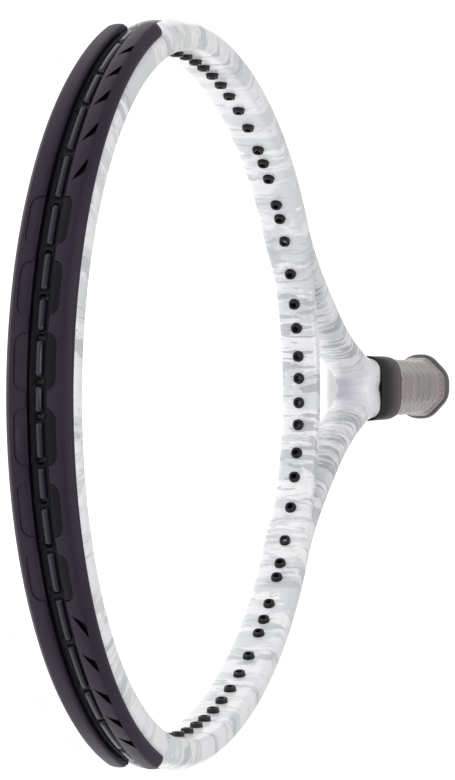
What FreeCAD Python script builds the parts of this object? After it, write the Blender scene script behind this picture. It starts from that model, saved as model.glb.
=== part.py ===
import FreeCAD, Part
import math
import os

# Tennis racket frame, unstrung. Millimetres.
# Frame of the part: the origin is the centre of the butt end face, +Y runs along
# the racket to the tip, +Z is normal to the plane of the head, X is the side.

# ---------------------------------------------------------------- dimensions
HEAD_HALF_WIDTH = 122.45      # ellipse through the tips of the grommet barrels
HEAD_TO_TIP = 145.43          # its half length towards the tip
HEAD_TO_THROAT = 174.97       # its half length towards the throat
HEAD_CENTRE_Y = 523.98

WALL_FROM_ELLIPSE = 1.5       # the tube's inner face stands this far outside the ellipse
HOOP_HALF_WIDTH = 5.8         # radial half width of the hoop's tube
HOOP_HALF_DEPTH = 10.2        # half depth of the hoop's tube, normal to the head
SHAFT_HALF_DEPTH = 10.4
TUBE_WALL = 1.7

GROOVE_FLOOR = 10.7           # radius offset of the string groove's floor
GROOVE_HALF = 3.5
STRIP_HALF = 3.3
BARREL_R = 2.3
BARREL_BORE_R = 1.15
HOLE_R = 2.38

BUMPER_START_DEG = 114.6      # angle on the ellipse where each end of the bumper lies
BUMPER_TOP = 15.6             # radius offset of the bumper's crest
CHANNEL_HALF = 2.95
CHANNEL_FLOOR = 12.35
BUMPER_SKIN = 11.75

BRIDGE_OUTER = 13.4           # radius offset of the bridge's handle side
BRIDGE_HALF_DEPTH = 8.4

LEG_START = 12.0
PALLET_Y0, PALLET_Y1 = 10.0, 170.0
PALLET_X, PALLET_Z = 14.4, 13.2
CAP_SLEEVE = 1.2
CAP_SLEEVE_END = 38.0
GRIP_Y0, GRIP_Y1 = 13.2, 171.0
GRIP_X, GRIP_Z = 16.3, 15.1
GRIP_NECK_Y = 157.0
FLANGE_X, FLANGE_Z = 20.5, 18.2
COLLAR_Y0, COLLAR_Y1 = 165.0, 200.0
COLLAR_X, COLLAR_Z = 17.6, 16.0
COLLAR_TRAVEL = 9.0
GAP = 0.06                    # assembly gap between pieces that are glued or pressed together

DOOR_AXIS_Y, DOOR_AXIS_Z = 0.95, 6.2
DOOR_PIN_R, DOOR_PIN_HOLE_R = 0.6, 0.68

# centre line of one arm and leg, from the butt to the shoulder: X, Y
ARM = [(6.8, 12.0), (6.8, 60.0), (6.8, 120.0), (6.8, 164.0), (7.1, 172.0), (8.2, 182.0), (8.6, 190.0),
       (8.62, 207.0), (9.3, 215.0), (11.0, 225.5), (14.2, 239.5), (18.0, 255.0),
       (22.3, 271.0), (27.5, 288.0), (33.8, 304.5), (40.5, 320.0), (47.8, 336.0), (56.0, 351.0)]
JOIN_DEG = 33.0               # from here to the tip the tube follows the ellipse

# half widths and shape of the tube's section against Y, up to the shoulder
T_OUT = [(0, 6.4), (168, 6.4), (188, 7.9), (215, 7.9), (240, 7.0), (262, 6.1), (300, 6.2), (340, 6.4), (368, 5.8)]
T_IN = [(0, 9.6), (168, 9.6), (188, 12.2), (212, 12.0), (222, 11.9), (228, 10.6), (234, 8.7), (243, 7.2), (262, 6.1),
        (300, 6.2), (340, 6.4), (368, 5.8)]
T_Z = [(0, 8.5), (168, 8.5), (188, 10.4), (250, 10.3), (340, 10.4), (368, 10.2)]
N_OUT = [(0, 2.6), (340, 2.6), (372, 2.1)]
N_IN = [(0, 3.0), (215, 3.0), (240, 2.6), (340, 2.8), (372, 5.5)]

# string holes: angle on the ellipse of each barrel, measured from the throat
THROAT_X = [5.5, 15.4, 28.0, 38.7]                       # main strings through the bridge
SIDE_XY = [(51.8, 365.5), (65.7, 376.4), (74.9, 385.6), (80.4, 392.0), (90.3, 405.8), (95.9, 415.2),
           (100.5, 424.0), (107.7, 440.7), (112.7, 455.8), (116.5, 470.2), (119.0, 483.0), (120.8, 495.2),
           (121.9, 507.3), (122.4, 518.3), (122.3, 530.4), (121.5, 542.1), (119.8, 554.0), (117.4, 565.3),
           (114.0, 577.0)]
TIP_CROSS_Y = [589.5, 602.5]
TIP_MAIN = [(5.3, 4.9), (16.6, 17.5), (28.4, 28.9), (40.4, 41.8), (53.6, 55.9), (68.0, 71.2), (83.8, 87.6), (95.6, 99.6)]

os.makedirs("parts", exist_ok=True)
V = FreeCAD.Vector


# ---------------------------------------------------------------- geometry helpers
def lerp(table, y):
    if y <= table[0][0]:
        return table[0][1]
    for (a, u), (b, v) in zip(table, table[1:]):
        if y <= b:
            w = (y - a) / (b - a)
            w = w * w * (3 - 2 * w)
            return u + (v - u) * w
    return table[-1][1]


def ell(t, d=0.0):
    """point of the head ellipse at angle t (0 throat, pi tip), moved d outwards, with its outward normal"""
    a = HEAD_TO_THROAT if math.cos(t) > 0 else HEAD_TO_TIP
    x, y = HEAD_HALF_WIDTH * math.sin(t), HEAD_CENTRE_Y - a * math.cos(t)
    nx, ny = math.sin(t) / HEAD_HALF_WIDTH, -math.cos(t) / a
    n = math.hypot(nx, ny)
    nx, ny = nx / n, ny / n
    return x + d * nx, y + d * ny, nx, ny


def crom(pts, n):
    """smooth curve through points (centripetal Catmull-Rom)"""
    out = []
    P = [(2 * pts[0][0] - pts[1][0], 2 * pts[0][1] - pts[1][1])] + list(pts)
    P.append((2 * pts[-1][0] - pts[-2][0], 2 * pts[-1][1] - pts[-2][1]))
    for i in range(1, len(P) - 2):
        p0, p1, p2, p3 = P[i - 1], P[i], P[i + 1], P[i + 2]
        t0 = 0.0
        t1 = t0 + math.dist(p0, p1) ** .5
        t2 = t1 + math.dist(p1, p2) ** .5
        t3 = t2 + math.dist(p2, p3) ** .5
        for k in range(n):
            t = t1 + (t2 - t1) * k / n

            def mix(a, b, ta, tb):
                return tuple(((tb - t) * u + (t - ta) * v) / (tb - ta) for u, v in zip(a, b))
            A1, A2, A3 = mix(p0, p1, t0, t1), mix(p1, p2, t1, t2), mix(p2, p3, t2, t3)
            out.append(mix(mix(A1, A2, t0, t2), mix(A2, A3, t1, t3), t1, t2))
    out.append(pts[-1])
    return out


MID = WALL_FROM_ELLIPSE + HOOP_HALF_WIDTH
R = math.radians


def arm_stations(step):
    """centre line from the butt to the shoulder, as (x, y, nx, ny), about step apart"""
    join = [ell(R(JOIN_DEG + k), MID)[:2] for k in (0, 3)]
    pts = crom(ARM + join, 24)[:-24]
    run, out = 0.0, []
    for i, p in enumerate(pts):
        if i:
            run += math.dist(p, pts[i - 1])
        a, b = pts[max(0, i - 1)], pts[min(len(pts) - 1, i + 1)]
        tx, ty = b[0] - a[0], b[1] - a[1]
        n = math.hypot(tx, ty)
        gap = step * 6 if p[1] < 150 else step
        if i == 0 or run >= gap:
            run = 0.0
            out.append((p[0], p[1], ty / n, -tx / n))
    while math.dist(out[-1][:2], join[0]) < step * 0.6:
        out.pop()
    return out


def tube_stations():
    """stations of the right half: (x, y, nx, ny, half in, half out, half depth, n in, n out, groove depth)"""
    raw = arm_stations(7.0)
    n = int(round((180.0 - JOIN_DEG) / 3.5))
    for k in range(n + 1):
        x, y, nx, ny = ell(R(JOIN_DEG + (180.0 - JOIN_DEG) * k / n), MID)
        if k == n:
            x, nx, ny = 0.0, 0.0, 1.0
        raw.append((x, y, nx, ny))
    out = []
    for x, y, nx, ny in raw:
        g = lerp([(343.0, 0.15), (352.0, HOOP_HALF_WIDTH - (GROOVE_FLOOR - MID))], y)
        out.append((x, y, nx, ny, lerp(T_IN, y), lerp(T_OUT, y), lerp(T_Z, y), lerp(N_IN, y), lerp(N_OUT, y), g))
    return out


def tube_profile(hi, ho, hz, ni, no, g):
    """section of the tube, (r, z) from the groove's upper corner over the top and the inside to its lower corner,
    r growing away from the head's centre"""
    edge = ho * (1 - (GROOVE_HALF / hz) ** no) ** (1 / no)
    floor = min(ho - g, edge - 0.02)
    up = [(floor, GROOVE_HALF), (edge, GROOVE_HALF)]
    for deg in (30, 45, 60, 75):
        c, s = math.cos(R(deg)), math.sin(R(deg))
        up.append((ho * c ** (2 / no), max(GROOVE_HALF + 0.4, hz * s ** (2 / no))))
    up.append((0.0, hz))
    for deg in (22, 38, 52, 68):
        s, c = math.sin(R(deg)), math.cos(R(deg))
        up.append((-hi * s ** (2 / ni), hz * c ** (2 / ni)))
    return up + [(r, -z) for r, z in reversed(up)]


def cavity_profile(hi, ho, hz, n):
    out = []
    for k in range(12):
        a = 2 * math.pi * (k + 0.5) / 12
        c, s = math.cos(a), math.sin(a)
        out.append((math.copysign(abs(c) ** (2 / n), c) * (ho if c > 0 else hi), math.copysign(abs(s) ** (2 / n), s) * hz))
    return out


def quads(ra, rb, skip_plane=False):
    """flat faces between two rings of points; skip_plane leaves out the faces that lie in X = 0"""
    out = []
    n = len(ra)
    for j in range(n):
        k = (j + 1) % n
        p = [ra[j], rb[j], rb[k], ra[k]]
        if skip_plane and all(abs(q.x) < 1e-9 for q in p):
            continue
        q = []
        for v in p:
            if not q or v.distanceToPoint(q[-1]) > 1e-6:
                q.append(v)
        if q[0].distanceToPoint(q[-1]) < 1e-6:
            q.pop()
        if len(q) < 3:
            continue
        if len(q) == 4:
            nrm = (q[1] - q[0]).cross(q[2] - q[0])
            if nrm.Length > 1e-9 and abs(nrm.normalize().dot(q[3] - q[0])) < 1e-7:
                out.append(Part.Face(poly_wire(q)))
                continue
            tris = [(q[0], q[1], q[2]), (q[0], q[2], q[3])]
        else:
            tris = [tuple(q)]
        for t in tris:
            if skip_plane and all(abs(v.x) < 1e-9 for v in t):
                continue
            if (t[1] - t[0]).cross(t[2] - t[0]).Length > 1e-7:
                out.append(Part.Face(poly_wire(list(t))))
    return out


def solid_from(faces):
    shell = Part.makeShell(faces)
    shell.sewShape()
    sh = shell.Shells
    sol = Part.makeSolid(sh[0]) if len(sh) == 1 else Part.makeSolid(Part.makeCompound(sh))
    if sol.Volume < 0:
        sol.reverse()
    return sol


def skin(rings):
    """closed solid through a list of rings of points, with flat ends"""
    faces = [Part.Face(poly_wire(rings[0])), Part.Face(poly_wire(rings[-1]))]
    for a, b in zip(rings, rings[1:]):
        faces += quads(a, b)
    return solid_from(faces)


def ring_at(frame, profile):
    x, y, nx, ny = frame[:4]
    return [V(x + nx * r, y + ny * r, z) for r, z in profile]


def sweep(frames, profile):
    return skin([ring_at(f, profile) for f in frames])


def box(x0, x1, y0, y1, z0, z1):
    return Part.makeBox(x1 - x0, y1 - y0, z1 - z0, V(x0, y0, z0))


def mirror(s):
    return s.mirror(V(0, 0, 0), V(1, 0, 0))


def cyl(a, b, r):
    d = b.sub(a)
    return Part.makeCylinder(r, d.Length, a, d)


def ellipse_frames(d0, d1, step, off=0.0):
    n = max(2, int(round(abs(d1 - d0) / step)))
    out = []
    for k in range(n + 1):
        x, y, nx, ny = ell(R(d0 + (d1 - d0) * k / n), off)
        out.append((x, y, nx, ny))
    return out


def poly_wire(points):
    return Part.makePolygon(points + [points[0]])


def octagon(hx, hz, fx, fz, y):
    """octagon round the long axis: half sizes hx, hz; fx, fz the half lengths of its flats"""
    return [V(hx, y, -fz), V(hx, y, fz), V(fx, y, hz), V(-fx, y, hz), V(-hx, y, fz), V(-hx, y, -fz),
            V(-fx, y, -hz), V(fx, y, -hz)]


def oct_loft(levels):
    """levels: (y, hx, hz, fx, fz)"""
    out = None
    for a, b in zip(levels, levels[1:]):
        s = Part.makeLoft([poly_wire(octagon(a[1], a[2], a[3], a[4], a[0])),
                           poly_wire(octagon(b[1], b[2], b[3], b[4], b[0]))], True, True)
        out = s if out is None else out.fuse(s)
    return out.removeSplitter()


def save(shape, node):
    if shape.ShapeType != "Compound" and shape.ShapeType != "Solid":
        shape = Part.makeCompound(shape.Solids)
    sol = shape.Solids
    if len(sol) == 1:
        shape = sol[0]
    else:
        shape = Part.makeCompound(sol)
    assert sol, node
    shape.exportStep("parts/%s.step" % node)
    b = shape.BoundBox
    print("%-22s solids %2d valid %s vol %9.1f  x %7.2f %7.2f  y %7.2f %7.2f  z %7.2f %7.2f" % (
        node, len(sol), shape.isValid(), shape.Volume, b.XMin, b.XMax, b.YMin, b.YMax, b.ZMin, b.ZMax))


# ---------------------------------------------------------------- string holes
def angle_at(x, y):
    a = HEAD_TO_THROAT if y < HEAD_CENTRE_Y else HEAD_TO_TIP
    return math.atan2(x / HEAD_HALF_WIDTH, (HEAD_CENTRE_Y - y) / a)


def radial(t, r0, r1):
    """the two ends of a barrel along the normal at angle t"""
    a, b = ell(t, r0), ell(t, r1)
    return V(a[0], a[1], 0), V(b[0], b[1], 0)


throat_holes = [radial(math.asin(x / HEAD_HALF_WIDTH), -0.2, 11.6) for x in THROAT_X]
side_holes = [radial(angle_at(x, y), -0.2, 11.4) for x, y in SIDE_XY]
# the first side hole runs through the root of the arm to its outer face
a0 = side_holes[0][0]
side_holes[0] = (a0, V(61.6, 352.1, 0))
tip_holes = []
for y in TIP_CROSS_Y:
    t = math.pi - math.asin(math.sqrt(1 - ((y - HEAD_CENTRE_Y) / HEAD_TO_TIP) ** 2))
    tip_holes.append(radial(t, -0.2, 11.4))
for xi, xo in TIP_MAIN:
    ti = math.pi - math.asin(xi / HEAD_HALF_WIDTH)
    a = ell(ti, -0.2)
    to = math.pi - math.asin(min(0.999, xo / (HEAD_HALF_WIDTH + 12.0)))
    b = ell(to, 11.4)
    tip_holes.append((V(a[0], a[1], 0), V(b[0], b[1], 0)))


def drills(holes, r, before=3.0, after=6.0):
    out = []
    for a, b in holes:
        d = b.sub(a)
        u = V(d).normalize()
        out.append(cyl(a - u * before, b + u * after, r))
    return out


# ---------------------------------------------------------------- hairpin tube
ST = tube_stations()


def outer_ring(s, grow=0.0):
    """ring of the tube's outside; where the two legs meet it stops at the plane X = 0"""
    out = []
    for p in ring_at(s, tube_profile(s[4] + grow, s[5] + grow, s[6] + grow, s[7], s[8], s[9])):
        out.append(V(max(0.0, p.x) if s[1] < 300 else p.x, p.y, p.z))
    return out


def inner_ring(s):
    hi, ho, hz, ni, no = s[4:9]
    w = TUBE_WALL
    hi2 = min(hi - w, s[0] / max(0.3, abs(s[2])) - 0.9)
    ho2 = lerp([(338.0, ho - w), (350.0, min(ho - w, GROOVE_FLOOR - MID - w))], s[1])
    return ring_at(s, cavity_profile(hi2, ho2, hz - w, 2.6))


def flip(v):
    return V(-v.x, v.y, v.z)


def hairpin_solid():
    outs = [outer_ring(s) for s in ST]
    ins = [inner_ring(s) for s in ST]
    faces = []
    for rings, plane in ((outs, True), (ins, False)):
        for m in (False, True):
            rr = [[flip(v) for v in r] for r in rings] if m else rings
            for a, b in zip(rr, rr[1:]):
                faces += quads(a, b, skip_plane=plane)
    for m in (False, True):
        o = [flip(v) for v in outs[0]] if m else outs[0]
        i = [flip(v) for v in ins[0]] if m else ins[0]
        faces.append(Part.makeFace([poly_wire(o), poly_wire(i)], "Part::FaceMakerBullseye"))
    return solid_from(faces)


hairpin = hairpin_solid()
drill = drills(side_holes + tip_holes, HOLE_R, 3.0, 4.0)
hairpin = hairpin.cut(drill + [mirror(s) for s in drill])
save(hairpin, "frame_hairpin")

# ---------------------------------------------------------------- throat bridge
bp = [(1.5, -BRIDGE_HALF_DEPTH + 1.4), (2.6, -BRIDGE_HALF_DEPTH + 0.2), (4.2, -BRIDGE_HALF_DEPTH), (9.6, -BRIDGE_HALF_DEPTH + 0.3),
      (11.9, -BRIDGE_HALF_DEPTH + 1.5), (13.1, -BRIDGE_HALF_DEPTH + 3.4), (BRIDGE_OUTER, -GROOVE_HALF), (11.2, -GROOVE_HALF)]
bp = bp + [(r, -z) for r, z in reversed(bp)]
bridge = sweep(ellipse_frames(-32.0, 32.0, 3.2), bp)
near = [s for s in ST if 318 < s[1] < 395]
cutter = skin([outer_ring(s, 0.02) for s in near])
bh = drills(throat_holes, HOLE_R) + drills(side_holes[:1], HOLE_R)
bridge = bridge.cut([cutter, mirror(cutter)] + bh + [mirror(s) for s in bh])
keep = max(bridge.Solids, key=lambda s: s.Volume)
save(keep, "throat_bridge")

# ---------------------------------------------------------------- bumper guard
up = [(BUMPER_SKIN, 3.4), (13.0, 3.4), (12.55, 5.35), (11.62, 7.45), (11.05, 8.3), (10.6, 8.78),
      (10.75, 9.75), (11.5, 10.24), (12.7, 10.1), (14.4, 8.95), (15.3, 7.75), (BUMPER_TOP, 5.5),
      (15.4, 3.85), (14.9, 3.1), (14.3, CHANNEL_HALF), (CHANNEL_FLOOR, CHANNEL_HALF)]
prof = up + [(r, -z) for r, z in reversed(up)]
bumper = sweep(ellipse_frames(BUMPER_START_DEG, 360 - BUMPER_START_DEG, 3.0), prof)
bt = drills(tip_holes, 2.0)
bumper = bumper.cut(bt + [mirror(s) for s in bt])
save(bumper, "bumper_guard")


# ---------------------------------------------------------------- grommet strips
def strip(frames, r0, r1, holes, both, off):
    base = sweep(frames, [(r0 - off, -STRIP_HALF), (r1 - off, -STRIP_HALF), (r1 - off, STRIP_HALF), (r0 - off, STRIP_HALF)])
    bars, bores = [], []
    for a, b in holes:
        u = b.sub(a).normalize()
        bars.append(cyl(a, b - u * 0.3, BARREL_R))
        bores.append(cyl(a - u * 2, b + u * 4, BARREL_BORE_R))
    if both:
        bars += [mirror(s) for s in bars]
        bores += [mirror(s) for s in bores]
    return base.fuse(bars).cut(bores)


head_strip = strip(ellipse_frames(BUMPER_START_DEG + 0.8, 360 - BUMPER_START_DEG - 0.8, 3.0), GROOVE_FLOOR + GAP, BUMPER_SKIN - GAP,
                   tip_holes, True, 0.0)
save(head_strip, "head_grommet_strip")
side_frames = [(x, y, nx, ny) for x, y, nx, ny in arm_stations(4.0) if y > 351.5]
side_frames = side_frames + ellipse_frames(JOIN_DEG, BUMPER_START_DEG - 0.6, 3.0, MID)
right_strip = strip(side_frames, GROOVE_FLOOR + 0.12, 11.95, side_holes, False, MID)
save(right_strip, "right_grommet_strip")
save(mirror(right_strip), "left_grommet_strip")
throat_strip = strip(ellipse_frames(-19.6, 19.6, 2.8), 11.2 + GAP, 12.4, throat_holes, True, 0.0)
save(throat_strip, "throat_grommet_strip")

# ---------------------------------------------------------------- handle
FX, FZ = 7.2, 6.0


def lv(y, hx, hz, k=1.0):
    return (y, hx, hz, FX * k, FZ * k)


pallet = oct_loft([lv(PALLET_Y0, PALLET_X - CAP_SLEEVE, PALLET_Z - CAP_SLEEVE, 0.94), lv(CAP_SLEEVE_END + 0.2, PALLET_X - CAP_SLEEVE, PALLET_Z - CAP_SLEEVE, 0.94)])
pallet = pallet.fuse(oct_loft([lv(CAP_SLEEVE_END + 0.2, PALLET_X, PALLET_Z), lv(GRIP_NECK_Y - 1, PALLET_X, PALLET_Z)]))
pallet = pallet.fuse(oct_loft([lv(GRIP_NECK_Y - 1, 13.6, 12.4, 0.95), lv(PALLET_Y1, 13.6, 12.4, 0.95)])).removeSplitter()
# the room for the legs is their own outline with a small gap
S0 = ST[0]


def leg_outline(grow, y):
    pts = [V(p.x, y, p.z) for p in outer_ring(S0, grow)]
    a = [p for p in pts if p.x > 1e-6]
    zc = max(p.z for p in pts if p.x <= 1e-6)
    right = [p for p in a]
    # the ring starts at the groove's upper corner: rotate it so that it runs from the top centre to the bottom centre
    up_side = [p for p in right if p.z > 0]
    down_side = [p for p in right if p.z < 0]
    up_side.sort(key=lambda p: p.x + (0 if p.z > GROOVE_HALF + 0.1 else 50))
    outline = [V(0, y, zc)] + up_side + [V(p.x, y, -p.z) for p in reversed(up_side)] + [V(0, y, -zc)]
    left = [V(-p.x, y, p.z) for p in reversed(outline[1:-1])]
    return outline + left


room = Part.Face(poly_wire(leg_outline(0.12, 5.0))).extrude(V(0, 170, 0))
pallet = pallet.cut(room)
pallet = pallet.cut(box(-4.2, 4.2, 69.5, 130.5, 6.0, 10.6))
upper = pallet.common(box(-30, 30, 0, 200, 0.03, 30))
lower = pallet.common(box(-30, 30, 0, 200, -30, -0.03))
save(upper, "handle_pallet_upper")
save(lower, "handle_pallet_lower")
save(box(-4.0, 4.0, 70, 130, 9.0, 10.5), "balance_weight")

# foam plugs in the open ends of the two hollow legs
hi, ho, hz = S0[4:7]
plug_ring = [V(S0[0] + r, LEG_START + 0.3, z) for r, z in
             cavity_profile(min(hi - TUBE_WALL, S0[0] - 0.9) - 0.05, ho - TUBE_WALL - 0.05, hz - TUBE_WALL - 0.05, 2.6)]
plug = Part.Face(poly_wire(plug_ring)).extrude(V(0, 40, 0))
save(Part.makeCompound([plug, mirror(plug)]), "leg_foam_plugs")

# butt cap: flared flange, end wall with the door opening, sleeve over the pallet
cap = oct_loft([lv(0.0, 18.9, 16.7, 1.0), lv(0.9, 20.0, 17.7, 1.03), lv(3.0, FLANGE_X, FLANGE_Z, 1.05), lv(9.6, FLANGE_X - 0.3, FLANGE_Z - 0.3, 1.05),
                lv(11.6, 18.3, 16.6, 1.02), lv(13.0, PALLET_X, PALLET_Z)])
cap = cap.fuse(oct_loft([lv(13.0, PALLET_X, PALLET_Z), lv(CAP_SLEEVE_END, PALLET_X, PALLET_Z)])).removeSplitter()
cap = cap.cut(oct_loft([lv(PALLET_Y0 - 0.2, PALLET_X - CAP_SLEEVE + GAP, PALLET_Z - CAP_SLEEVE + GAP, 0.94),
                        lv(60, PALLET_X - CAP_SLEEVE + GAP, PALLET_Z - CAP_SLEEVE + GAP, 0.94)]))
cap = cap.cut(box(-11.5, 11.5, 3.6, 12.0, -10.3, 10.3))
door_w, door_z0, door_z1 = 9.0, -6.8, 5.1
cap = cap.cut(box(-door_w - 0.35, door_w + 0.35, -1.0, 2.15, door_z0 - 0.35, 7.5))
cap = cap.cut(box(-8.0, 8.0, 2.0, 4.0, -5.8, 4.6))
cap = cap.cut(cyl(V(-door_w - 1.9, DOOR_AXIS_Y, DOOR_AXIS_Z), V(door_w + 1.9, DOOR_AXIS_Y, DOOR_AXIS_Z), DOOR_PIN_HOLE_R))
# finger notch under the door's free edge
cap = cap.cut(cyl(V(0, -1.0, door_z0 - 0.6), V(0, 1.6, door_z0 - 0.6), 3.2))

# trap door with its two hinge pins
door = box(-door_w, door_w, 0.0, 1.8, door_z0, door_z1)
door = door.fuse(cyl(V(-door_w, DOOR_AXIS_Y, DOOR_AXIS_Z), V(door_w, DOOR_AXIS_Y, DOOR_AXIS_Z), 0.9))
door = door.fuse(box(-door_w, door_w, 0.2, 1.65, door_z1 - 0.5, DOOR_AXIS_Z))
door = door.fuse(cyl(V(-door_w - 1.6, DOOR_AXIS_Y, DOOR_AXIS_Z), V(door_w + 1.6, DOOR_AXIS_Y, DOOR_AXIS_Z), DOOR_PIN_R)).removeSplitter()
save(door, "trap_door")


# staples that hold the cap to the pallet, one on each broad face, and the one at the start of the grip
def staple(y, z, w, up_side):
    s = 1 if up_side else -1
    z0, z1 = (z, z + 0.5) if up_side else (z - 0.5, z)
    return box(-w / 2, w / 2, y - 0.4, y + 0.4, z0, z1)


def staple_room(st):
    b = st.BoundBox
    return box(b.XMin - GAP, b.XMax + GAP, b.YMin - GAP, b.YMax + GAP, b.ZMin - GAP, b.ZMax + GAP)


cap_staples = [staple(26.0, PALLET_Z - 0.5, 10.0, True), staple(26.0, -PALLET_Z + 0.5, 10.0, False)]
grip_staple = staple(33.0, PALLET_Z - 0.5, 8.0, True)
cap2 = cap.cut([staple_room(s) for s in cap_staples + [grip_staple]])
save(cap2, "butt_cap")
save(Part.makeCompound(cap_staples), "butt_cap_staples")
save(grip_staple, "grip_start_staple")

# base grip: cushioned wrap, thinner over the last stretch where the tape goes round it
grip = oct_loft([lv(GRIP_Y0, GRIP_X, GRIP_Z, 1.0), lv(GRIP_NECK_Y, GRIP_X, GRIP_Z, 1.0)])
grip = grip.fuse(oct_loft([lv(GRIP_NECK_Y, GRIP_X, GRIP_Z), lv(160.5, 15.3, 14.1, 0.97), lv(GRIP_Y1, 15.3, 14.1, 0.97)])).removeSplitter()
grip_core = oct_loft([lv(0, PALLET_X + GAP, PALLET_Z + GAP), lv(GRIP_NECK_Y - 0.9, PALLET_X + GAP, PALLET_Z + GAP)])
grip_core = grip_core.fuse(oct_loft([lv(GRIP_NECK_Y - 0.9, 13.66, 12.46, 0.95), lv(200, 13.66, 12.46, 0.95)])).removeSplitter()
grip = grip.cut(grip_core)
save(grip, "base_grip")
tape = oct_loft([lv(161.0, 15.55, 14.35, 0.97), lv(170.6, 15.55, 14.35, 0.97)])
tape = tape.cut(oct_loft([lv(150, 15.34, 14.14, 0.97), lv(180, 15.34, 14.14, 0.97)]))
save(tape, "finishing_tape")


# rubber collar: skirt over the end of the grip, cone down to the shaft
def ring(y, hx, hz, n, m=40):
    out = []
    for k in range(m):
        a = 2 * math.pi * (k + 0.5) / m
        c, s = math.cos(a), math.sin(a)
        out.append(V(math.copysign(abs(c) ** (2 / n), c) * hx, y, math.copysign(abs(s) ** (2 / n), s) * hz))
    return out


def shaft_ring(y, grow, m=56):
    """ring that follows the shaft's own outline at y, grow mm outside it, wherever the collar slides"""
    half = max(lerp(T_OUT, y + k) for k in range(int(COLLAR_TRAVEL) + 1)) + grow
    deep = max(lerp(T_Z, y + k) for k in range(int(COLLAR_TRAVEL) + 1)) + grow
    mid = 8.75
    out = []
    for k in range(m):
        a = 2 * math.pi * (k + 0.5) / m
        c, s = math.cos(a), math.sin(a)
        out.append(V(math.copysign(abs(c) ** (2 / 2.7) * half + mid, c), y, math.copysign(abs(s) ** (2 / 2.7), s) * deep))
    return out


collar = skin([ring(COLLAR_Y0, COLLAR_X, COLLAR_Z, 3.7), ring(177, COLLAR_X, COLLAR_Z, 3.7), ring(184, COLLAR_X, COLLAR_Z - 0.8, 3.7),
               ring(192, COLLAR_X, 13.4, 3.9), ring(COLLAR_Y1 - 1, COLLAR_X, 11.9, 4.0), ring(COLLAR_Y1, COLLAR_X - 0.1, 11.7, 4.0)])
skirt_in = oct_loft([lv(150, 15.95, 14.75, 1.0), lv(COLLAR_Y0 + 9.6, 15.95, 14.75, 1.0)])
skirt_cone = skin([ring(COLLAR_Y0 + 9.5, 16.4, 14.2, 3.4, 56), ring(184, 16.9, 13.2, 3.6, 56), shaft_ring(193.0, 0.45), shaft_ring(205.0, 0.45)])
collar = collar.cut([skirt_in, skirt_cone])
save(collar, "grip_collar")
# the collar's own wall stays whole and clear of the shaft over its travel
clear = [collar.translated(V(0, d, 0)).common(hairpin).Volume for d in (0.0, 4.5, COLLAR_TRAVEL)]
print("collar against shaft, mm3:", ["%.3f" % v for v in clear], "throat strip:", "%.3f" % throat_strip.common(hairpin).Volume)
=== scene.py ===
import math

import bmesh
import bpy
import numpy as np
from mathutils import Matrix, Vector


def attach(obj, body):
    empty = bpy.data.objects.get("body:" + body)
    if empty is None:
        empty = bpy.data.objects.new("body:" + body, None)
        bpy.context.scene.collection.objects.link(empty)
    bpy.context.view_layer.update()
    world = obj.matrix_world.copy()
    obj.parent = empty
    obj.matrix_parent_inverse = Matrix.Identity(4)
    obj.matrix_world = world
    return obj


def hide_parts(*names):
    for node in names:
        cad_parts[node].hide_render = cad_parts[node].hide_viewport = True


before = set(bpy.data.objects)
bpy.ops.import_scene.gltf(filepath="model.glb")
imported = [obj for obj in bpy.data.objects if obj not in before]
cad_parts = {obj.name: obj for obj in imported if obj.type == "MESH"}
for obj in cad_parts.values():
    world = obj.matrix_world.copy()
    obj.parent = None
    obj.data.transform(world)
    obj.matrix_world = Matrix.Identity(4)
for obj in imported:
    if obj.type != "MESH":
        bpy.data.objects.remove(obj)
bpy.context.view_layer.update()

# Unstrung tennis racket frame. Everything below is in millimetres until a mesh is made, which is in metres.
# Y runs from the butt to the tip, Z is normal to the plane of the head, X is the side.

MM = 0.001
SCENE = bpy.context.scene
COLL = SCENE.collection

HEAD_HALF_WIDTH, HEAD_TO_TIP, HEAD_TO_THROAT, HEAD_CENTRE_Y = 122.45, 145.43, 174.97, 523.98
MID = 7.3
HALF_W, HALF_D = 5.8, 10.2
GROOVE_FLOOR, GROOVE_HALF = 10.7, 3.5
JOIN = 33.0
BUMPER_START = 114.6
ARM = [(6.8, 12.0), (6.8, 60.0), (6.8, 120.0), (6.8, 164.0), (7.1, 172.0), (8.2, 182.0), (8.6, 190.0),
       (8.62, 207.0), (9.3, 215.0), (11.0, 225.5), (14.2, 239.5), (18.0, 255.0),
       (22.3, 271.0), (27.5, 288.0), (33.8, 304.5), (40.5, 320.0), (47.8, 336.0), (56.0, 351.0)]
T_OUT = [(0, 6.4), (168, 6.4), (188, 7.9), (215, 7.9), (240, 7.0), (262, 6.1), (300, 6.2), (340, 6.4), (368, 5.8)]
T_IN = [(0, 9.6), (168, 9.6), (188, 12.2), (212, 12.0), (217, 11.2), (222, 9.0), (226, 5.7), (230, 5.35), (238, 5.6), (248, 6.0), (262, 6.1),
        (300, 6.2), (340, 6.4), (368, 5.8)]
T_Z = [(0, 8.5), (168, 8.5), (188, 10.4), (250, 10.3), (340, 10.4), (368, 10.2)]
N_OUT = [(0, 2.6), (340, 2.6), (372, 2.1)]
N_IN = [(0, 3.0), (215, 3.0), (240, 2.6), (340, 2.8), (372, 5.5)]
GROOVE = [(343.0, 0.15), (352.0, 2.4)]
THROAT_X = [5.5, 15.4, 28.0, 38.7]
SIDE_XY = [(51.8, 365.5), (65.7, 376.4), (74.9, 385.6), (80.4, 392.0), (90.3, 405.8), (95.9, 415.2),
           (100.5, 424.0), (107.7, 440.7), (112.7, 455.8), (116.5, 470.2), (119.0, 483.0), (120.8, 495.2),
           (121.9, 507.3), (122.4, 518.3), (122.3, 530.4), (121.5, 542.1), (119.8, 554.0), (117.4, 565.3),
           (114.0, 577.0)]
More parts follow.
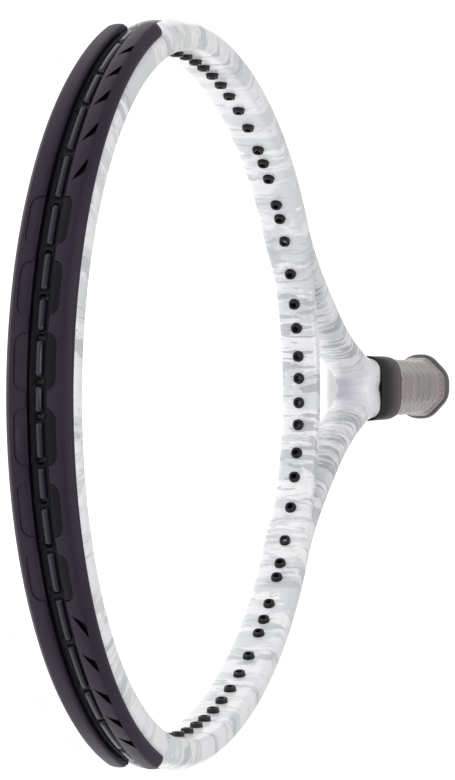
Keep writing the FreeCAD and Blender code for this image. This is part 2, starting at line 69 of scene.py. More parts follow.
TIP_CROSS_Y = [589.5, 602.5]
TIP_MAIN = [(5.3, 4.9), (16.6, 17.5), (28.4, 28.9), (40.4, 41.8), (53.6, 55.9), (68.0, 71.2), (83.8, 87.6), (95.6, 99.6)]


# ------------------------------------------------------------------ curves
def lerp(table, y):
    if y <= table[0][0]:
        return table[0][1]
    for (a, u), (b, v) in zip(table, table[1:]):
        if y <= b:
            w = (y - a) / (b - a)
            w = w * w * (3 - 2 * w)
            return u + (v - u) * w
    return table[-1][1]


def ell(t, d=0.0):
    a = HEAD_TO_THROAT if math.cos(t) > 0 else HEAD_TO_TIP
    x, y = HEAD_HALF_WIDTH * math.sin(t), HEAD_CENTRE_Y - a * math.cos(t)
    nx, ny = math.sin(t) / HEAD_HALF_WIDTH, -math.cos(t) / a
    n = math.hypot(nx, ny)
    nx, ny = nx / n, ny / n
    return x + d * nx, y + d * ny, nx, ny


def crom(pts, n):
    out = []
    P = [(2 * pts[0][0] - pts[1][0], 2 * pts[0][1] - pts[1][1])] + list(pts)
    P.append((2 * pts[-1][0] - pts[-2][0], 2 * pts[-1][1] - pts[-2][1]))
    for i in range(1, len(P) - 2):
        p0, p1, p2, p3 = P[i - 1], P[i], P[i + 1], P[i + 2]
        t0 = 0.0
        t1 = t0 + math.dist(p0, p1) ** .5
        t2 = t1 + math.dist(p1, p2) ** .5
        t3 = t2 + math.dist(p2, p3) ** .5
        for k in range(n):
            t = t1 + (t2 - t1) * k / n

            def mix(a, b, ta, tb):
                return tuple(((tb - t) * u + (t - ta) * v) / (tb - ta) for u, v in zip(a, b))
            A1, A2, A3 = mix(p0, p1, t0, t1), mix(p1, p2, t1, t2), mix(p2, p3, t2, t3)
            out.append(mix(mix(A1, A2, t0, t2), mix(A2, A3, t1, t3), t1, t2))
    out.append(pts[-1])
    return out


def smooth01(a, b, x):
    w = min(1.0, max(0.0, (x - a) / (b - a)))
    return w * w * (3 - 2 * w)


# arc length of the hoop's centre line from the throat, in mm
_T = np.radians(np.linspace(0, 180, 3601))
_P = np.array([ell(t, MID)[:2] for t in _T])
_S = np.concatenate([[0.0], np.cumsum(np.hypot(*np.diff(_P, axis=0).T))])
HOOP_LEN = float(_S[-1])


def hoop_s(deg):
    return float(np.interp(math.radians(abs(deg)), _T, _S)) * (1 if deg >= 0 else -1)


def angle_at(x, y):
    a = HEAD_TO_THROAT if y < HEAD_CENTRE_Y else HEAD_TO_TIP
    return math.atan2(x / HEAD_HALF_WIDTH, (HEAD_CENTRE_Y - y) / a)


def radial(t, r0, r1):
    a, b = ell(t, r0), ell(t, r1)
    return np.array([a[0], a[1], 0.0]), np.array([b[0], b[1], 0.0])


def mirror_x(p):
    return np.array([-p[0], p[1], p[2]])


throat_holes = [radial(math.asin(x / HEAD_HALF_WIDTH), -0.2, 11.6) for x in THROAT_X]
side_holes = [radial(angle_at(x, y), -0.2, 11.4) for x, y in SIDE_XY]
side_holes[0] = (side_holes[0][0], np.array([61.6, 352.1, 0.0]))
tip_holes = []
for y in TIP_CROSS_Y:
    t = math.pi - math.asin(math.sqrt(1 - ((y - HEAD_CENTRE_Y) / HEAD_TO_TIP) ** 2))
    tip_holes.append(radial(t, -0.2, 11.4))
for xi, xo in TIP_MAIN:
    a = ell(math.pi - math.asin(xi / HEAD_HALF_WIDTH), -0.2)
    b = ell(math.pi - math.asin(min(0.999, xo / (HEAD_HALF_WIDTH + 12.0))), 11.4)
    tip_holes.append((np.array([a[0], a[1], 0.0]), np.array([b[0], b[1], 0.0])))


def both(holes):
    return holes + [(mirror_x(a), mirror_x(b)) for a, b in holes]


# ------------------------------------------------------------------ mesh tools
def make(name, verts, faces, mats, uvs=None, fmat=None, sharp=34.0, uvname="run"):
    """mesh object from points in mm; uvs is one pair for each face corner, in the faces' order"""
    me = bpy.data.meshes.new(name)
    v = np.asarray(verts, float) * MM
    me.from_pydata([tuple(p) for p in v], [], faces)
    for m in mats:
        me.materials.append(m)
    if fmat is not None:
        me.polygons.foreach_set("material_index", np.asarray(fmat, np.int32))
    if uvs is not None:
        lay = me.uv_layers.new(name=uvname)
        lay.data.foreach_set("uv", np.asarray(uvs, np.float32).ravel())
    me.update()
    ob = bpy.data.objects.new(name, me)
    COLL.objects.link(ob)
    finish_normals(ob, sharp)
    return ob


def finish_normals(ob, sharp=34.0):
    me = ob.data
    bm = bmesh.new()
    bm.from_mesh(me)
    bmesh.ops.recalc_face_normals(bm, faces=bm.faces)
    bm.to_mesh(me)
    bm.free()
    me.shade_smooth()
    if sharp is not None:
        me.set_sharp_from_angle(angle=math.radians(sharp))
    me.update()


def grid_mesh(rings, us=None, closed=True, caps=True, split=None, skip=None):
    """faces and corner UVs of a swept skin: rings is (n, m, 3); u along the sweep and v round the ring, both in units of 100 mm"""
    rings = np.asarray(rings, float)
    n, m = rings.shape[:2]
    faces, uvs = [], []
    if us is None:
        c = rings.mean(axis=1)
        us = np.concatenate([[0.0], np.cumsum(np.linalg.norm(np.diff(c, axis=0), axis=1))])
    nxt = np.roll(rings, -1, axis=1)
    step = np.linalg.norm(nxt - rings, axis=2)
    arc = np.concatenate([np.zeros((n, 1)), np.cumsum(step, axis=1)], axis=1)
    mm = m if closed else m - 1
    for i in range(n - 1):
        for j in range(mm):
            k = (j + 1) % m
            f = (i * m + j, (i + 1) * m + j, (i + 1) * m + k, i * m + k)
            if skip is not None and skip(rings[i, j], rings[i + 1, j], rings[i + 1, k], rings[i, k]):
                continue
            faces.append(f)
            o1, o2 = (arc[i, m], arc[i + 1, m]) if split is not None and j >= split else (0.0, 0.0)
            uvs += [(us[i] / 100, (arc[i, j] - o1) / 100), (us[i + 1] / 100, (arc[i + 1, j] - o2) / 100),
                    (us[i + 1] / 100, (arc[i + 1, j + 1] - o2) / 100), (us[i] / 100, (arc[i, j + 1] - o1) / 100)]
    if caps:
        for i in (0, n - 1):
            ring = list(range(i * m, i * m + m))
            if i == 0:
                ring = ring[::-1]
            faces.append(tuple(ring))
            for q in ring:
                j = q - i * m
                uvs.append((us[i] / 100, arc[i, j] / 100))
    return rings.reshape(-1, 3), faces, uvs


def join_parts(parts):
    """parts: list of (verts, faces, uvs); returns one such triple"""
    V, F, U, o = [], [], [], 0
    for v, f, u in parts:
        V.append(np.asarray(v, float))
        F += [tuple(q + o for q in face) for face in f]
        U += u
        o += len(v)
    return np.concatenate(V), F, U


def lathe(a, b, prof, seg=24, n=2.0, twist=0.0):
    """closed ring of revolution on the axis a to b; prof is a closed list of (distance from a, radius)"""
    a, b = np.asarray(a, float), np.asarray(b, float)
    L = np.linalg.norm(b - a)
    u = (b - a) / L
    z = np.array([0, 0, 1.0]) if abs(u[2]) < 0.9 else np.array([1.0, 0, 0])
    w = np.cross(u, z)
    w /= np.linalg.norm(w)
    z = np.cross(w, u)
    rings = []
    for k in range(seg):
        th = 2 * math.pi * k / seg + twist
        c, s = math.cos(th), math.sin(th)
        q = (abs(c) ** n + abs(s) ** n) ** (-1 / n)
        rings.append([a + u * (d if d >= 0 else L + d) + (z * c + w * s) * r * (1 + (q - 1) * min(1, r / 2)) for d, r in prof])
    rings.append(rings[0])
    rings = np.array(rings)
    nn, m = rings.shape[:2]
    faces, uvs = [], []
    for i in range(seg):
        i2 = (i + 1) % seg
        for j in range(m):
            k = (j + 1) % m
            faces.append((i * m + j, i2 * m + j, i2 * m + k, i * m + k))
            for ii, jj in ((i, j), (i + 1, j), (i + 1, j + 1), (i, j + 1)):
                uvs.append((ii * 0.006, jj * 0.006))
    return rings[:-1].reshape(-1, 3), faces, uvs


def rod(a, b, prof, seg=24):
    """closed solid of revolution; prof is an open list of (distance from a, radius) that starts and ends near the axis"""
    a, b = np.asarray(a, float), np.asarray(b, float)
    L = np.linalg.norm(b - a)
    u = (b - a) / L
    z = np.array([0, 0, 1.0]) if abs(u[2]) < 0.9 else np.array([1.0, 0, 0])
    w = np.cross(u, z)
    w /= np.linalg.norm(w)
    z = np.cross(w, u)
    rings = []
    for d, r in prof:
        rings.append([a + u * (d if d >= 0 else L + d) + (z * math.cos(2 * math.pi * k / seg) + w * math.sin(2 * math.pi * k / seg)) * r
                      for k in range(seg)])
    return grid_mesh(np.array(rings))


def resample(pts, n):
    p = np.asarray(pts, float)
    s = np.concatenate([[0.0], np.cumsum(np.hypot(*np.diff(p, axis=0).T))])
    q = np.linspace(0, s[-1], n)
    return np.stack([np.interp(q, s, p[:, 0]), np.interp(q, s, p[:, 1])], 1)


def ring_pts(fr, prof):
    x, y, nx, ny = fr[:4]
    prof = np.asarray(prof, float)
    return np.stack([x + nx * prof[:, 0], y + ny * prof[:, 0], prof[:, 1]], 1)


def cut(ob, cutters, sharp=34.0):
    """takes the closed cutter meshes away from ob; the cut faces keep the cutters' material"""
    tool = cutters[0] if len(cutters) == 1 else None
    mod = ob.modifiers.new("cut", "BOOLEAN")
    mod.operation = "DIFFERENCE"
    mod.solver = "EXACT"
    mod.use_self = False
    mod.material_mode = "TRANSFER"
    mod.object = tool
    bpy.context.view_layer.update()
    dg = bpy.context.evaluated_depsgraph_get()
    me = bpy.data.meshes.new_from_object(ob.evaluated_get(dg), preserve_all_data_layers=True, depsgraph=dg)
    ob.modifiers.clear()
    old = ob.data
    me.name = old.name + "_cut"
    ob.data = me
    bpy.data.meshes.remove(old)
    tm = tool.data
    bpy.data.objects.remove(tool)
    bpy.data.meshes.remove(tm)
    bm = bmesh.new()
    bm.from_mesh(me)
    bmesh.ops.remove_doubles(bm, verts=bm.verts, dist=2e-6)
    bmesh.ops.dissolve_degenerate(bm, edges=bm.edges, dist=2e-6)
    bm.to_mesh(me)
    bm.free()
    me.shade_smooth()
    me.set_sharp_from_angle(angle=math.radians(sharp))
    me.update()
    return ob


# ------------------------------------------------------------------ materials
def srgb(r, g, b):
    def f(c):
        c /= 255.0
        return c / 12.92 if c <= 0.04045 else ((c + 0.055) / 1.055) ** 2.4
    return (f(r), f(g), f(b), 1.0)


class Nodes:
    def __init__(self, name):
        self.m = bpy.data.materials.new(name)
        self.m.use_nodes = True
        self.t = self.m.node_tree
        self.t.nodes.clear()
        self.out = self.t.nodes.new("ShaderNodeOutputMaterial")
        self.bsdf = self.t.nodes.new("ShaderNodeBsdfPrincipled")
        self.t.links.new(self.bsdf.outputs[0], self.out.inputs[0])

    def new(self, kind, **props):
        n = self.t.nodes.new(kind)
        for k, v in props.items():
            setattr(n, k, v)
        return n

    def link(self, a, b):
        self.t.links.new(a, b)

    def put(self, sock, v):
        if hasattr(v, "is_output"):
            self.link(v, sock)
        else:
            sock.default_value = v

    def uv(self, scale, loc=(0, 0, 0), name="run"):
        u = self.new("ShaderNodeUVMap", uv_map=name)
        mp = self.new("ShaderNodeMapping")
        self.link(u.outputs[0], mp.inputs["Vector"])
        mp.inputs["Scale"].default_value = scale
        mp.inputs["Location"].default_value = loc
        return mp.outputs[0]

    def obj(self, scale, loc=(0, 0, 0)):
        u = self.new("ShaderNodeTexCoord")
        mp = self.new("ShaderNodeMapping")
        self.link(u.outputs["Object"], mp.inputs["Vector"])
        mp.inputs["Scale"].default_value = scale
        mp.inputs["Location"].default_value = loc
        return mp.outputs[0]

    def noise(self, vec, scale=1.0, detail=4.0, rough=0.5, dist=0.0, lac=2.0):
        n = self.new("ShaderNodeTexNoise")
        self.link(vec, n.inputs["Vector"])
        n.inputs["Scale"].default_value = scale
        n.inputs["Detail"].default_value = detail
        n.inputs["Roughness"].default_value = rough
        n.inputs["Lacunarity"].default_value = lac
        n.inputs["Distortion"].default_value = dist
        return n.outputs["Fac"]

    def voronoi(self, vec, scale=1.0, feature="F1", rand=1.0):
        n = self.new("ShaderNodeTexVoronoi", feature=feature)
        self.link(vec, n.inputs["Vector"])
        n.inputs["Scale"].default_value = scale
        n.inputs["Randomness"].default_value = rand
        return n.outputs["Distance"]

    def math(self, op, a, b=None, c=None):
        n = self.new("ShaderNodeMath", operation=op)
        self.put(n.inputs[0], a)
        if b is not None:
            self.put(n.inputs[1], b)
        if c is not None:
            self.put(n.inputs[2], c)
        return n.outputs[0]

    def step(self, v, lo, hi, a=0.0, b=1.0):
        n = self.new("ShaderNodeMapRange", interpolation_type="SMOOTHSTEP")
        self.link(v, n.inputs["Value"])
        n.inputs["From Min"].default_value = lo
        n.inputs["From Max"].default_value = hi
        n.inputs["To Min"].default_value = a
        n.inputs["To Max"].default_value = b
        return n.outputs["Result"]

    def mix(self, fac, a, b, mode="MIX"):
        n = self.new("ShaderNodeMix", data_type="RGBA", blend_type=mode)
        self.put(n.inputs[0], fac)
        self.put(n.inputs[6], a)
        self.put(n.inputs[7], b)
        return n.outputs[2]

    def bump(self, height, dist, strength=1.0, normal=None):
        n = self.new("ShaderNodeBump")
        self.link(height, n.inputs["Height"])
        n.inputs["Distance"].default_value = dist
        n.inputs["Strength"].default_value = strength
        if normal is not None:
            self.link(normal, n.inputs["Normal"])
        return n.outputs[0]

    def set(self, **kw):
        names = {"color": "Base Color", "rough": "Roughness", "coat": "Coat Weight", "coat_rough": "Coat Roughness", "spec": "Specular IOR Level",
                 "metal": "Metallic", "normal": "Normal", "sheen": "Sheen Weight", "sheen_rough": "Sheen Roughness", "ior": "IOR",
                 "coat_normal": "Coat Normal"}
        for k, v in kw.items():
            self.put(self.bsdf.inputs[names[k]], v)
        return self.m


def paint_material():
    n = Nodes("racket_paint")
    place = n.new("ShaderNodeSeparateXYZ")
    n.link(n.obj((1, 1, 1)), place.inputs[0])
    # patches run round the tube: long in v, short in u
    warp = n.noise(n.uv((6.0, 6.0, 1.0), (3.1, 1.7, 0)), 1.0, 2.0, 0.5)
    warp = n.math("MULTIPLY_ADD", warp, 0.34, -0.17)
    big = n.noise(n.uv((5.6, 2.1, 1.0), (11.3, 4.2, 0.0)), 1.0, 5.0, 0.56, 0.55, 2.1)
    jag = n.noise(n.uv((48.0, 9.0, 1.0), (2.0, 7.0, 3.0)), 1.0, 3.0, 0.62, 0.4)
    fib = n.noise(n.uv((150.0, 14.0, 1.0), (5.0, 1.0, 9.0)), 1.0, 3.0, 0.6)
    a = n.math("ADD", big, n.math("MULTIPLY_ADD", jag, 0.17, -0.085))
    a = n.math("ADD", a, n.math("MULTIPLY_ADD", fib, 0.05, -0.025))
    light = n.step(a, 0.478, 0.532)
    big2 = n.noise(n.uv((7.4, 2.6, 1.0), (31.0, 14.2, 5.0)), 1.0, 5.0, 0.6, 0.7, 2.2)
    b = n.math("ADD", big2, n.math("MULTIPLY_ADD", jag, 0.2, -0.10))
    mid = n.step(b, 0.535, 0.585)
    big3 = n.noise(n.uv((9.5, 3.4, 1.0), (51.0, 2.2, 8.0)), 1.0, 4.0, 0.6, 0.5, 2.2)
    c = n.math("ADD", big3, n.math("MULTIPLY_ADD", jag, 0.22, -0.11))
    white2 = n.step(c, 0.585, 0.60)
    col = n.mix(light, srgb(238, 237, 240), srgb(216, 219, 220))
    col = n.mix(mid, col, srgb(196, 200, 203))
    col = n.mix(white2, col, srgb(242, 241, 243))
    # short dark streaks across the two arms
    arms = n.step(place.outputs["Y"], 0.335, 0.395, 1.0, 0.0)
    str1 = n.noise(n.uv((30.0, 5.0, 1.0), (7.0, 3.0, 2.0)), 1.0, 3.0, 0.55, 0.5)
    where = n.noise(n.uv((7.0, 4.0, 1.0), (1.0, 8.0, 4.0)), 1.0, 2.0, 0.5)
    st = n.math("ADD", str1, n.math("MULTIPLY_ADD", where, 0.34, -0.17))
    st = n.math("ADD", st, n.math("MULTIPLY_ADD", jag, 0.10, -0.05))
    st = n.math("MULTIPLY", n.step(st, 0.535, 0.575), arms)
    col = n.mix(n.math("MULTIPLY", st, 0.85), col, srgb(168, 171, 176))
    # plain white near the handle
    col = n.mix(n.step(place.outputs["Y"], 0.222, 0.256, 1.0, 0.0), col, srgb(240, 239, 243))
    # painted shade in the hollow of the crotch: grey, darkest towards -Z
    painted_crotch_shade = n.math("MULTIPLY", n.step(place.outputs["Y"], 0.209, 0.223), n.step(place.outputs["Z"], -0.009, 0.0085, 1.0, 0.0))
    painted_crotch_shade = n.math("MULTIPLY", painted_crotch_shade, n.step(n.math("ABSOLUTE", place.outputs["X"]), 0.0035, 0.0085, 1.0, 0.0))
    painted_crotch_shade = n.math("MULTIPLY", painted_crotch_shade, n.step(place.outputs["Y"], 0.229, 0.236, 1.0, 0.0))
    col = n.mix(painted_crotch_shade, col, srgb(176, 172, 184))
    # brushed fibres and faint clouding inside every patch
    tone = n.step(fib, 0.25, 0.75, 0.955, 1.03)
    cloud = n.noise(n.uv((22.0, 12.0, 1.0)), 1.0, 4.0, 0.6)
    tone = n.math("MULTIPLY", tone, n.step(cloud, 0.2, 0.8, 0.965, 1.025))
    col = n.mix(1.0, col, tone, "MULTIPLY")
    micro = n.noise(n.obj((900, 900, 900)), 1.0, 2.0, 0.5)
    peel = n.noise(n.obj((160, 160, 160)), 1.0, 2.0, 0.5)
    nb = n.bump(n.math("ADD", n.math("MULTIPLY", peel, 0.7), n.math("MULTIPLY", micro, 0.3)), 0.00006, 0.5)
    rough = n.step(n.noise(n.obj((35, 35, 35)), 1.0, 4.0, 0.6), 0.3, 0.7, 0.26, 0.38)
    return n.set(color=col, rough=rough, normal=nb, coat=0.35, coat_rough=0.12, spec=0.45)


def plastic(name, rgb, rough, grain, depth, var=0.10, scuff=0.0, coat=0.0, spec=0.5):
    """moulded black plastic: fine grain, slow change of tone, a little rubbing"""
    n = Nodes(name)
    slow = n.noise(n.obj((28, 28, 28)), 1.0, 5.0, 0.6)
    fine = n.noise(n.obj((grain, grain, grain)), 1.0, 3.0, 0.6)
    base = srgb(*rgb)
    dark = tuple(c * (1 - var) for c in base[:3]) + (1.0,)
    lite = tuple(c * (1 + var) + 0.001 for c in base[:3]) + (1.0,)
    col = n.mix(n.step(slow, 0.3, 0.7), dark, lite)
    col = n.mix(n.step(fine, 0.35, 0.75, 0.0, 0.25), col, tuple(c * 1.5 + 0.002 for c in base[:3]) + (1.0,))
    if scuff:
        s1 = n.noise(n.obj((60, 340, 340), (3, 1, 5)), 1.0, 4.0, 0.65)
        s2 = n.noise(n.obj((14, 14, 14), (9, 2, 1)), 1.0, 2.0, 0.5)
        s = n.math("MULTIPLY", n.step(s1, 0.60, 0.72), n.step(s2, 0.48, 0.62))
        col = n.mix(n.math("MULTIPLY", s, scuff), col, tuple(min(1.0, c * 3.0 + 0.02) for c in base[:3]) + (1.0,))
    cell = n.voronoi(n.obj((grain * 0.8, grain * 0.8, grain * 0.8)), 1.0)
    h = n.math("ADD", n.math("MULTIPLY", fine, 0.6), n.math("MULTIPLY", cell, 0.4))
    nb = n.bump(h, depth, 0.6)
    rg = n.step(slow, 0.25, 0.75, rough - 0.05, rough + 0.06)
    return n.set(color=col, rough=rg, normal=nb, coat=coat, coat_rough=0.1, spec=spec)


def grip_material():
    n = Nodes("wrap_black")
    # spiral strip coordinates: u along the strip, v across it, both in units of 100 mm
    # the light grey-beige base is painted reflection: the black wrap looks this light only by its sheen at grazing view
    base = srgb(122, 109, 106)
    slow = n.noise(n.obj((40, 40, 40)), 1.0, 5.0, 0.6)
    col = n.mix(n.step(slow, 0.3, 0.7), tuple(c * 0.8 for c in base[:3]) + (1.0,), tuple(c * 1.35 for c in base[:3]) + (1.0,))
    dots = n.voronoi(n.uv((31.0, 31.0, 1.0), (0.15, 0.3, 0), "strip"), 1.0, "F1", 0.0)
    hole = n.step(dots, 0.16, 0.24, 1.0, 0.0)
    leather = n.voronoi(n.obj((1400, 1400, 1400)), 1.0)
    wrink = n.noise(n.obj((420, 420, 420)), 1.0, 4.0, 0.6)
    col = n.mix(n.math("MULTIPLY", hole, 0.85), col, srgb(8, 8, 9))
    h = n.math("ADD", n.math("MULTIPLY", leather, 0.35), n.math("MULTIPLY", wrink, 0.65))
    b1 = n.bump(h, 0.00012, 0.6)
    b2 = n.bump(n.math("SUBTRACT", 1.0, hole), 0.0004, 0.8, b1)
    rg = n.step(wrink, 0.25, 0.75, 0.27, 0.38)
    return n.set(color=col, rough=rg, normal=b2, spec=0.8, sheen=0.30, sheen_rough=0.35)


def rubber_material():
    n = Nodes("rubber_black")
    base = srgb(8, 7, 11)
    slow = n.noise(n.obj((55, 55, 55)), 1.0, 4.0, 0.6)
    fine = n.noise(n.obj((1800, 1800, 1800)), 1.0, 2.0, 0.6)
    dust = n.noise(n.obj((260, 260, 260)), 1.0, 5.0, 0.7)
    col = n.mix(n.step(slow, 0.3, 0.7), tuple(c * 0.8 for c in base[:3]) + (1.0,), tuple(c * 1.3 for c in base[:3]) + (1.0,))
    place = n.new("ShaderNodeSeparateXYZ")
    n.link(n.obj((1, 1, 1)), place.inputs[0])
    # painted reflection: the skirt towards the grip turns lighter grey, standing for the rubber's sheen at grazing view
    col = n.mix(n.step(place.outputs["Y"], 0.168, 0.196, 0.95, 0.0), col, srgb(88, 81, 86))
    col = n.mix(n.step(dust, 0.60, 0.78, 0.0, 0.35), col, srgb(58, 57, 60))
    nb = n.bump(n.math("ADD", fine, n.math("MULTIPLY", dust, 0.5)), 0.00006, 0.6)
    return n.set(color=col, rough=n.step(slow, 0.2, 0.8, 0.46, 0.58), normal=nb, spec=0.25)


def tape_material():
    n = Nodes("tape_black")
    base = srgb(24, 24, 26)
    fine = n.noise(n.obj((60, 900, 60)), 1.0, 3.0, 0.6)
    slow = n.noise(n.obj((90, 90, 90)), 1.0, 4.0, 0.6)
    col = n.mix(n.step(slow, 0.3, 0.7), tuple(c * 0.8 for c in base[:3]) + (1.0,), tuple(c * 1.4 for c in base[:3]) + (1.0,))
    return n.set(color=col, rough=n.step(fine, 0.2, 0.8, 0.22, 0.34), normal=n.bump(fine, 0.00005, 0.5), spec=0.5)


def foam_material(name, rgb, cell=900.0):
    n = Nodes(name)
    base = srgb(*rgb)
    c1 = n.voronoi(n.obj((cell, cell, cell)), 1.0)
    slow = n.noise(n.obj((45, 45, 45)), 1.0, 4.0, 0.6)
    col = n.mix(n.step(c1, 0.1, 0.7), tuple(c * 0.7 for c in base[:3]) + (1.0,), base)
    col = n.mix(n.step(slow, 0.3, 0.7, 0.0, 0.35), col, tuple(c * 0.8 for c in base[:3]) + (1.0,))
    return n.set(color=col, rough=0.85, normal=n.bump(c1, 0.0003, 0.8), spec=0.3)


def metal_material(name, rgb, rough, brush):
    n = Nodes(name)
    base = srgb(*rgb)
    f = n.noise(n.obj(brush), 1.0, 4.0, 0.6)
    col = n.mix(n.step(f, 0.3, 0.7), tuple(c * 0.78 for c in base[:3]) + (1.0,), base)
    return n.set(color=col, rough=n.step(f, 0.2, 0.8, rough - 0.08, rough + 0.12), metal=1.0, normal=n.bump(f, 0.00004, 0.6))


PAINT = paint_material()
BUMPER = plastic("guard_satin", (42, 33, 48), 0.42, 1500, 0.00007, 0.14, 0.25, 0.0, 0.15)
# polished dark plastic; where it lines the channel its darkness is partly painted shade
GLOSS = plastic("guard_gloss", (14, 12, 20), 0.22, 700, 0.00001, 0.10, 0.0, 0.0, 0.10)
NOTCH = plastic("guard_notch", (10, 9, 13), 0.30, 700, 0.00001, 0.10, 0.0, 0.0, 0.16)
GROMMET = plastic("grommet_black", (19, 18, 23), 0.34, 2200, 0.00004, 0.14, 0.0, 0.0, 0.30)
BAR = plastic("bar_gloss", (34, 29, 43), 0.15, 900, 0.00002, 0.10, 0.0, 0.0, 0.45)
HOLE = plastic("bore_dark", (12, 12, 13), 0.6, 2600, 0.00004, 0.2)
GRIP = grip_material()
RUBBER = rubber_material()
TAPE = tape_material()
CAP = plastic("cap_black", (30, 29, 32), 0.32, 1900, 0.00005, 0.14, 0.3)


def flange_material():
    n = Nodes("cap_flare")
    place = n.new("ShaderNodeSeparateXYZ")
    n.link(n.obj((1, 1, 1)), place.inputs[0])
    slow = n.noise(n.obj((34, 34, 34)), 1.0, 5.0, 0.6)
    fine = n.noise(n.obj((1500, 1500, 1500)), 1.0, 3.0, 0.6)
    col = n.mix(n.step(slow, 0.3, 0.7), srgb(22, 19, 25), srgb(30, 26, 33))
    # painted reflection: the black flange turns pale towards the grip, standing for its sheen at grazing view; the butt
    # end stays dark
    pale = n.mix(n.step(slow, 0.3, 0.7), srgb(84, 75, 80), srgb(98, 88, 91))
    col = n.mix(n.step(place.outputs["Y"], 0.0045, 0.0125), col, pale)
    nb = n.bump(fine, 0.00006, 0.6)
    return n.set(color=col, rough=n.step(slow, 0.25, 0.75, 0.28, 0.38), normal=nb, spec=0.6)


FLARE = flange_material()
PALLET = foam_material("pallet_foam", (196, 178, 140), 1300.0)
FOAM = foam_material("plug_foam", (214, 206, 184), 700.0)
LEAD = metal_material("lead_strip", (120, 122, 128), 0.5, (240, 60, 240))
STEEL = metal_material("staple_steel", (176, 176, 180), 0.32, (500, 80, 500))


# ------------------------------------------------------------------ frame tube
def tube_section(hi, ho, hz, ni, no, g, m=30):
    """section (r, z) as a closed ring that starts at the inner face's centre; every section has the same number of points"""
    edge = ho * (1 - (GROOVE_HALF / hz) ** no) ** (1 / no)
    floor = min(ho - g, edge - 0.02)
    dep = edge - floor
    c = min(0.45, dep * 0.45)
    z1 = GROOVE_HALF + c
    r1 = ho * (1 - (z1 / hz) ** no) ** (1 / no)
    a0 = math.asin(min(1.0, (z1 / hz) ** (no / 2)))
    arc = [(ho * math.cos(a) ** (2 / no) if a < math.pi / 2 - 1e-9 else 0.0, hz * math.sin(a) ** (2 / no)) for a in np.linspace(a0, math.pi / 2, 160)]
    arc += [(-hi * math.sin(b) ** (2 / ni), hz * (max(0.0, math.cos(b)) ** (2 / ni))) for b in np.linspace(0, math.pi / 2, 220)[1:]]
    arc = resample(arc, m)
    gr = [(floor, 0.0), (floor, 1.3), (floor, 2.5), (floor + dep * 0.02, GROOVE_HALF - c * 0.8), (floor + c * 0.5, GROOVE_HALF - c * 0.05),
          (edge - c * 0.9, GROOVE_HALF), (edge - c * 0.25 + (r1 - edge) * 0.3, GROOVE_HALF + c * 0.3)]
    up = [tuple(p) for p in arc[::-1]] + gr[::-1]          # inner centre, over the top, to the groove's centre
    down = [(r, -z) for r, z in up[::-1]][1:-1]
    return np.array(up + down)


def arm_frames():
    join = [ell(math.radians(JOIN + k), MID)[:2] for k in (0, 3)]
    pts = np.array(crom(ARM + join, 40)[:-40])
    s = np.concatenate([[0.0], np.cumsum(np.hypot(*np.diff(pts, axis=0).T))])
    pos, q = [], 0.0
    while q < s[-1] - 0.8:
        pos.append(q)
        y = float(np.interp(q, s, pts[:, 1]))
        q += 7.0 if y < 150 else (3.0 if y < 185 else (1.0 if 212 < y < 236 else 1.6))
    out = []
    for q in pos:
        x, y = np.interp(q, s, pts[:, 0]), np.interp(q, s, pts[:, 1])
        e = 1.2
        xa, ya = np.interp(max(0, q - e), s, pts[:, 0]), np.interp(max(0, q - e), s, pts[:, 1])
        xb, yb = np.interp(min(s[-1], q + e), s, pts[:, 0]), np.interp(min(s[-1], q + e), s, pts[:, 1])
        n = math.hypot(xb - xa, yb - ya)
        out.append((float(x), float(y), (yb - ya) / n, -(xb - xa) / n, hoop_s(JOIN) - (s[-1] - q)))
    return out


def tube_frames():
    out = arm_frames()
    n = 206
    for k in range(n + 1):
        d = JOIN + (180 - JOIN) * k / n
        x, y, nx, ny = ell(math.radians(d), MID)
        if k == n:
            x, nx, ny = 0.0, 0.0, 1.0
        out.append((x, y, nx, ny, hoop_s(d)))
    return out


def build_tube():
    frames = tube_frames()
    rings, us = [], []
    for x, y, nx, ny, s in frames:
        sec = tube_section(lerp(T_IN, y), lerp(T_OUT, y), lerp(T_Z, y), lerp(N_IN, y), lerp(N_OUT, y), lerp(GROOVE, y))
        r = ring_pts((x, y, nx, ny), sec)
        if y < 300:
            r[:, 0] = np.maximum(r[:, 0], 0.0)
        rings.append(r)
        us.append(s)
    rings, us = np.array(rings), np.array(us)
    left = rings[:-1][::-1].copy()
    left[:, :, 0] *= -1
    allr = np.concatenate([rings, left])
    allu = np.concatenate([us, 2 * HOOP_LEN - us[:-1][::-1]])
    m = allr.shape[1]
    half = m // 2

    def in_plane(*p):
        return all(abs(q[0]) < 1e-6 and q[1] < 300 for q in p)
    v, f, uv = grid_mesh(allr, allu, True, True, half, in_plane)
    # v is measured both ways from the middle of the inner face, so that the seam lies in the groove
    me = make("frame_tube", v, f, [PAINT, HOLE], uv)
    bm = bmesh.new()
    bm.from_mesh(me.data)
    mid = [w for w in bm.verts if abs(w.co.x) < 1e-7 and w.co.y < 0.3]
    bmesh.ops.remove_doubles(bm, verts=mid, dist=5e-6)
    loose = [w for w in bm.verts if not w.link_faces]
    bmesh.ops.delete(bm, geom=loose, context="VERTS")
    bm.to_mesh(me.data)
    bm.free()
    finish_normals(me, 40)
    return me


def hole_cutters(holes, r0, name, lip=0.45, before=3.2, after=5.0, start=1.5):
    """flared drills on the axes; start is how far from a the surface lies"""
    parts = []
    for a, b in holes:
        L = np.linalg.norm(b - a)
        u = (b - a) / L
        a2, b2 = a - u * before, b + u * after
        d = before + start + 0.2
        parts.append(rod(a2, b2, [(0.0, r0 + lip * 2.2), (d - 0.9, r0 + lip * 1.4), (d + lip * 0.7, r0), (L + before + after, r0)], 24))
    v, f, uv = join_parts(parts)
    return make(name, v, f, [HOLE], uv, sharp=30)


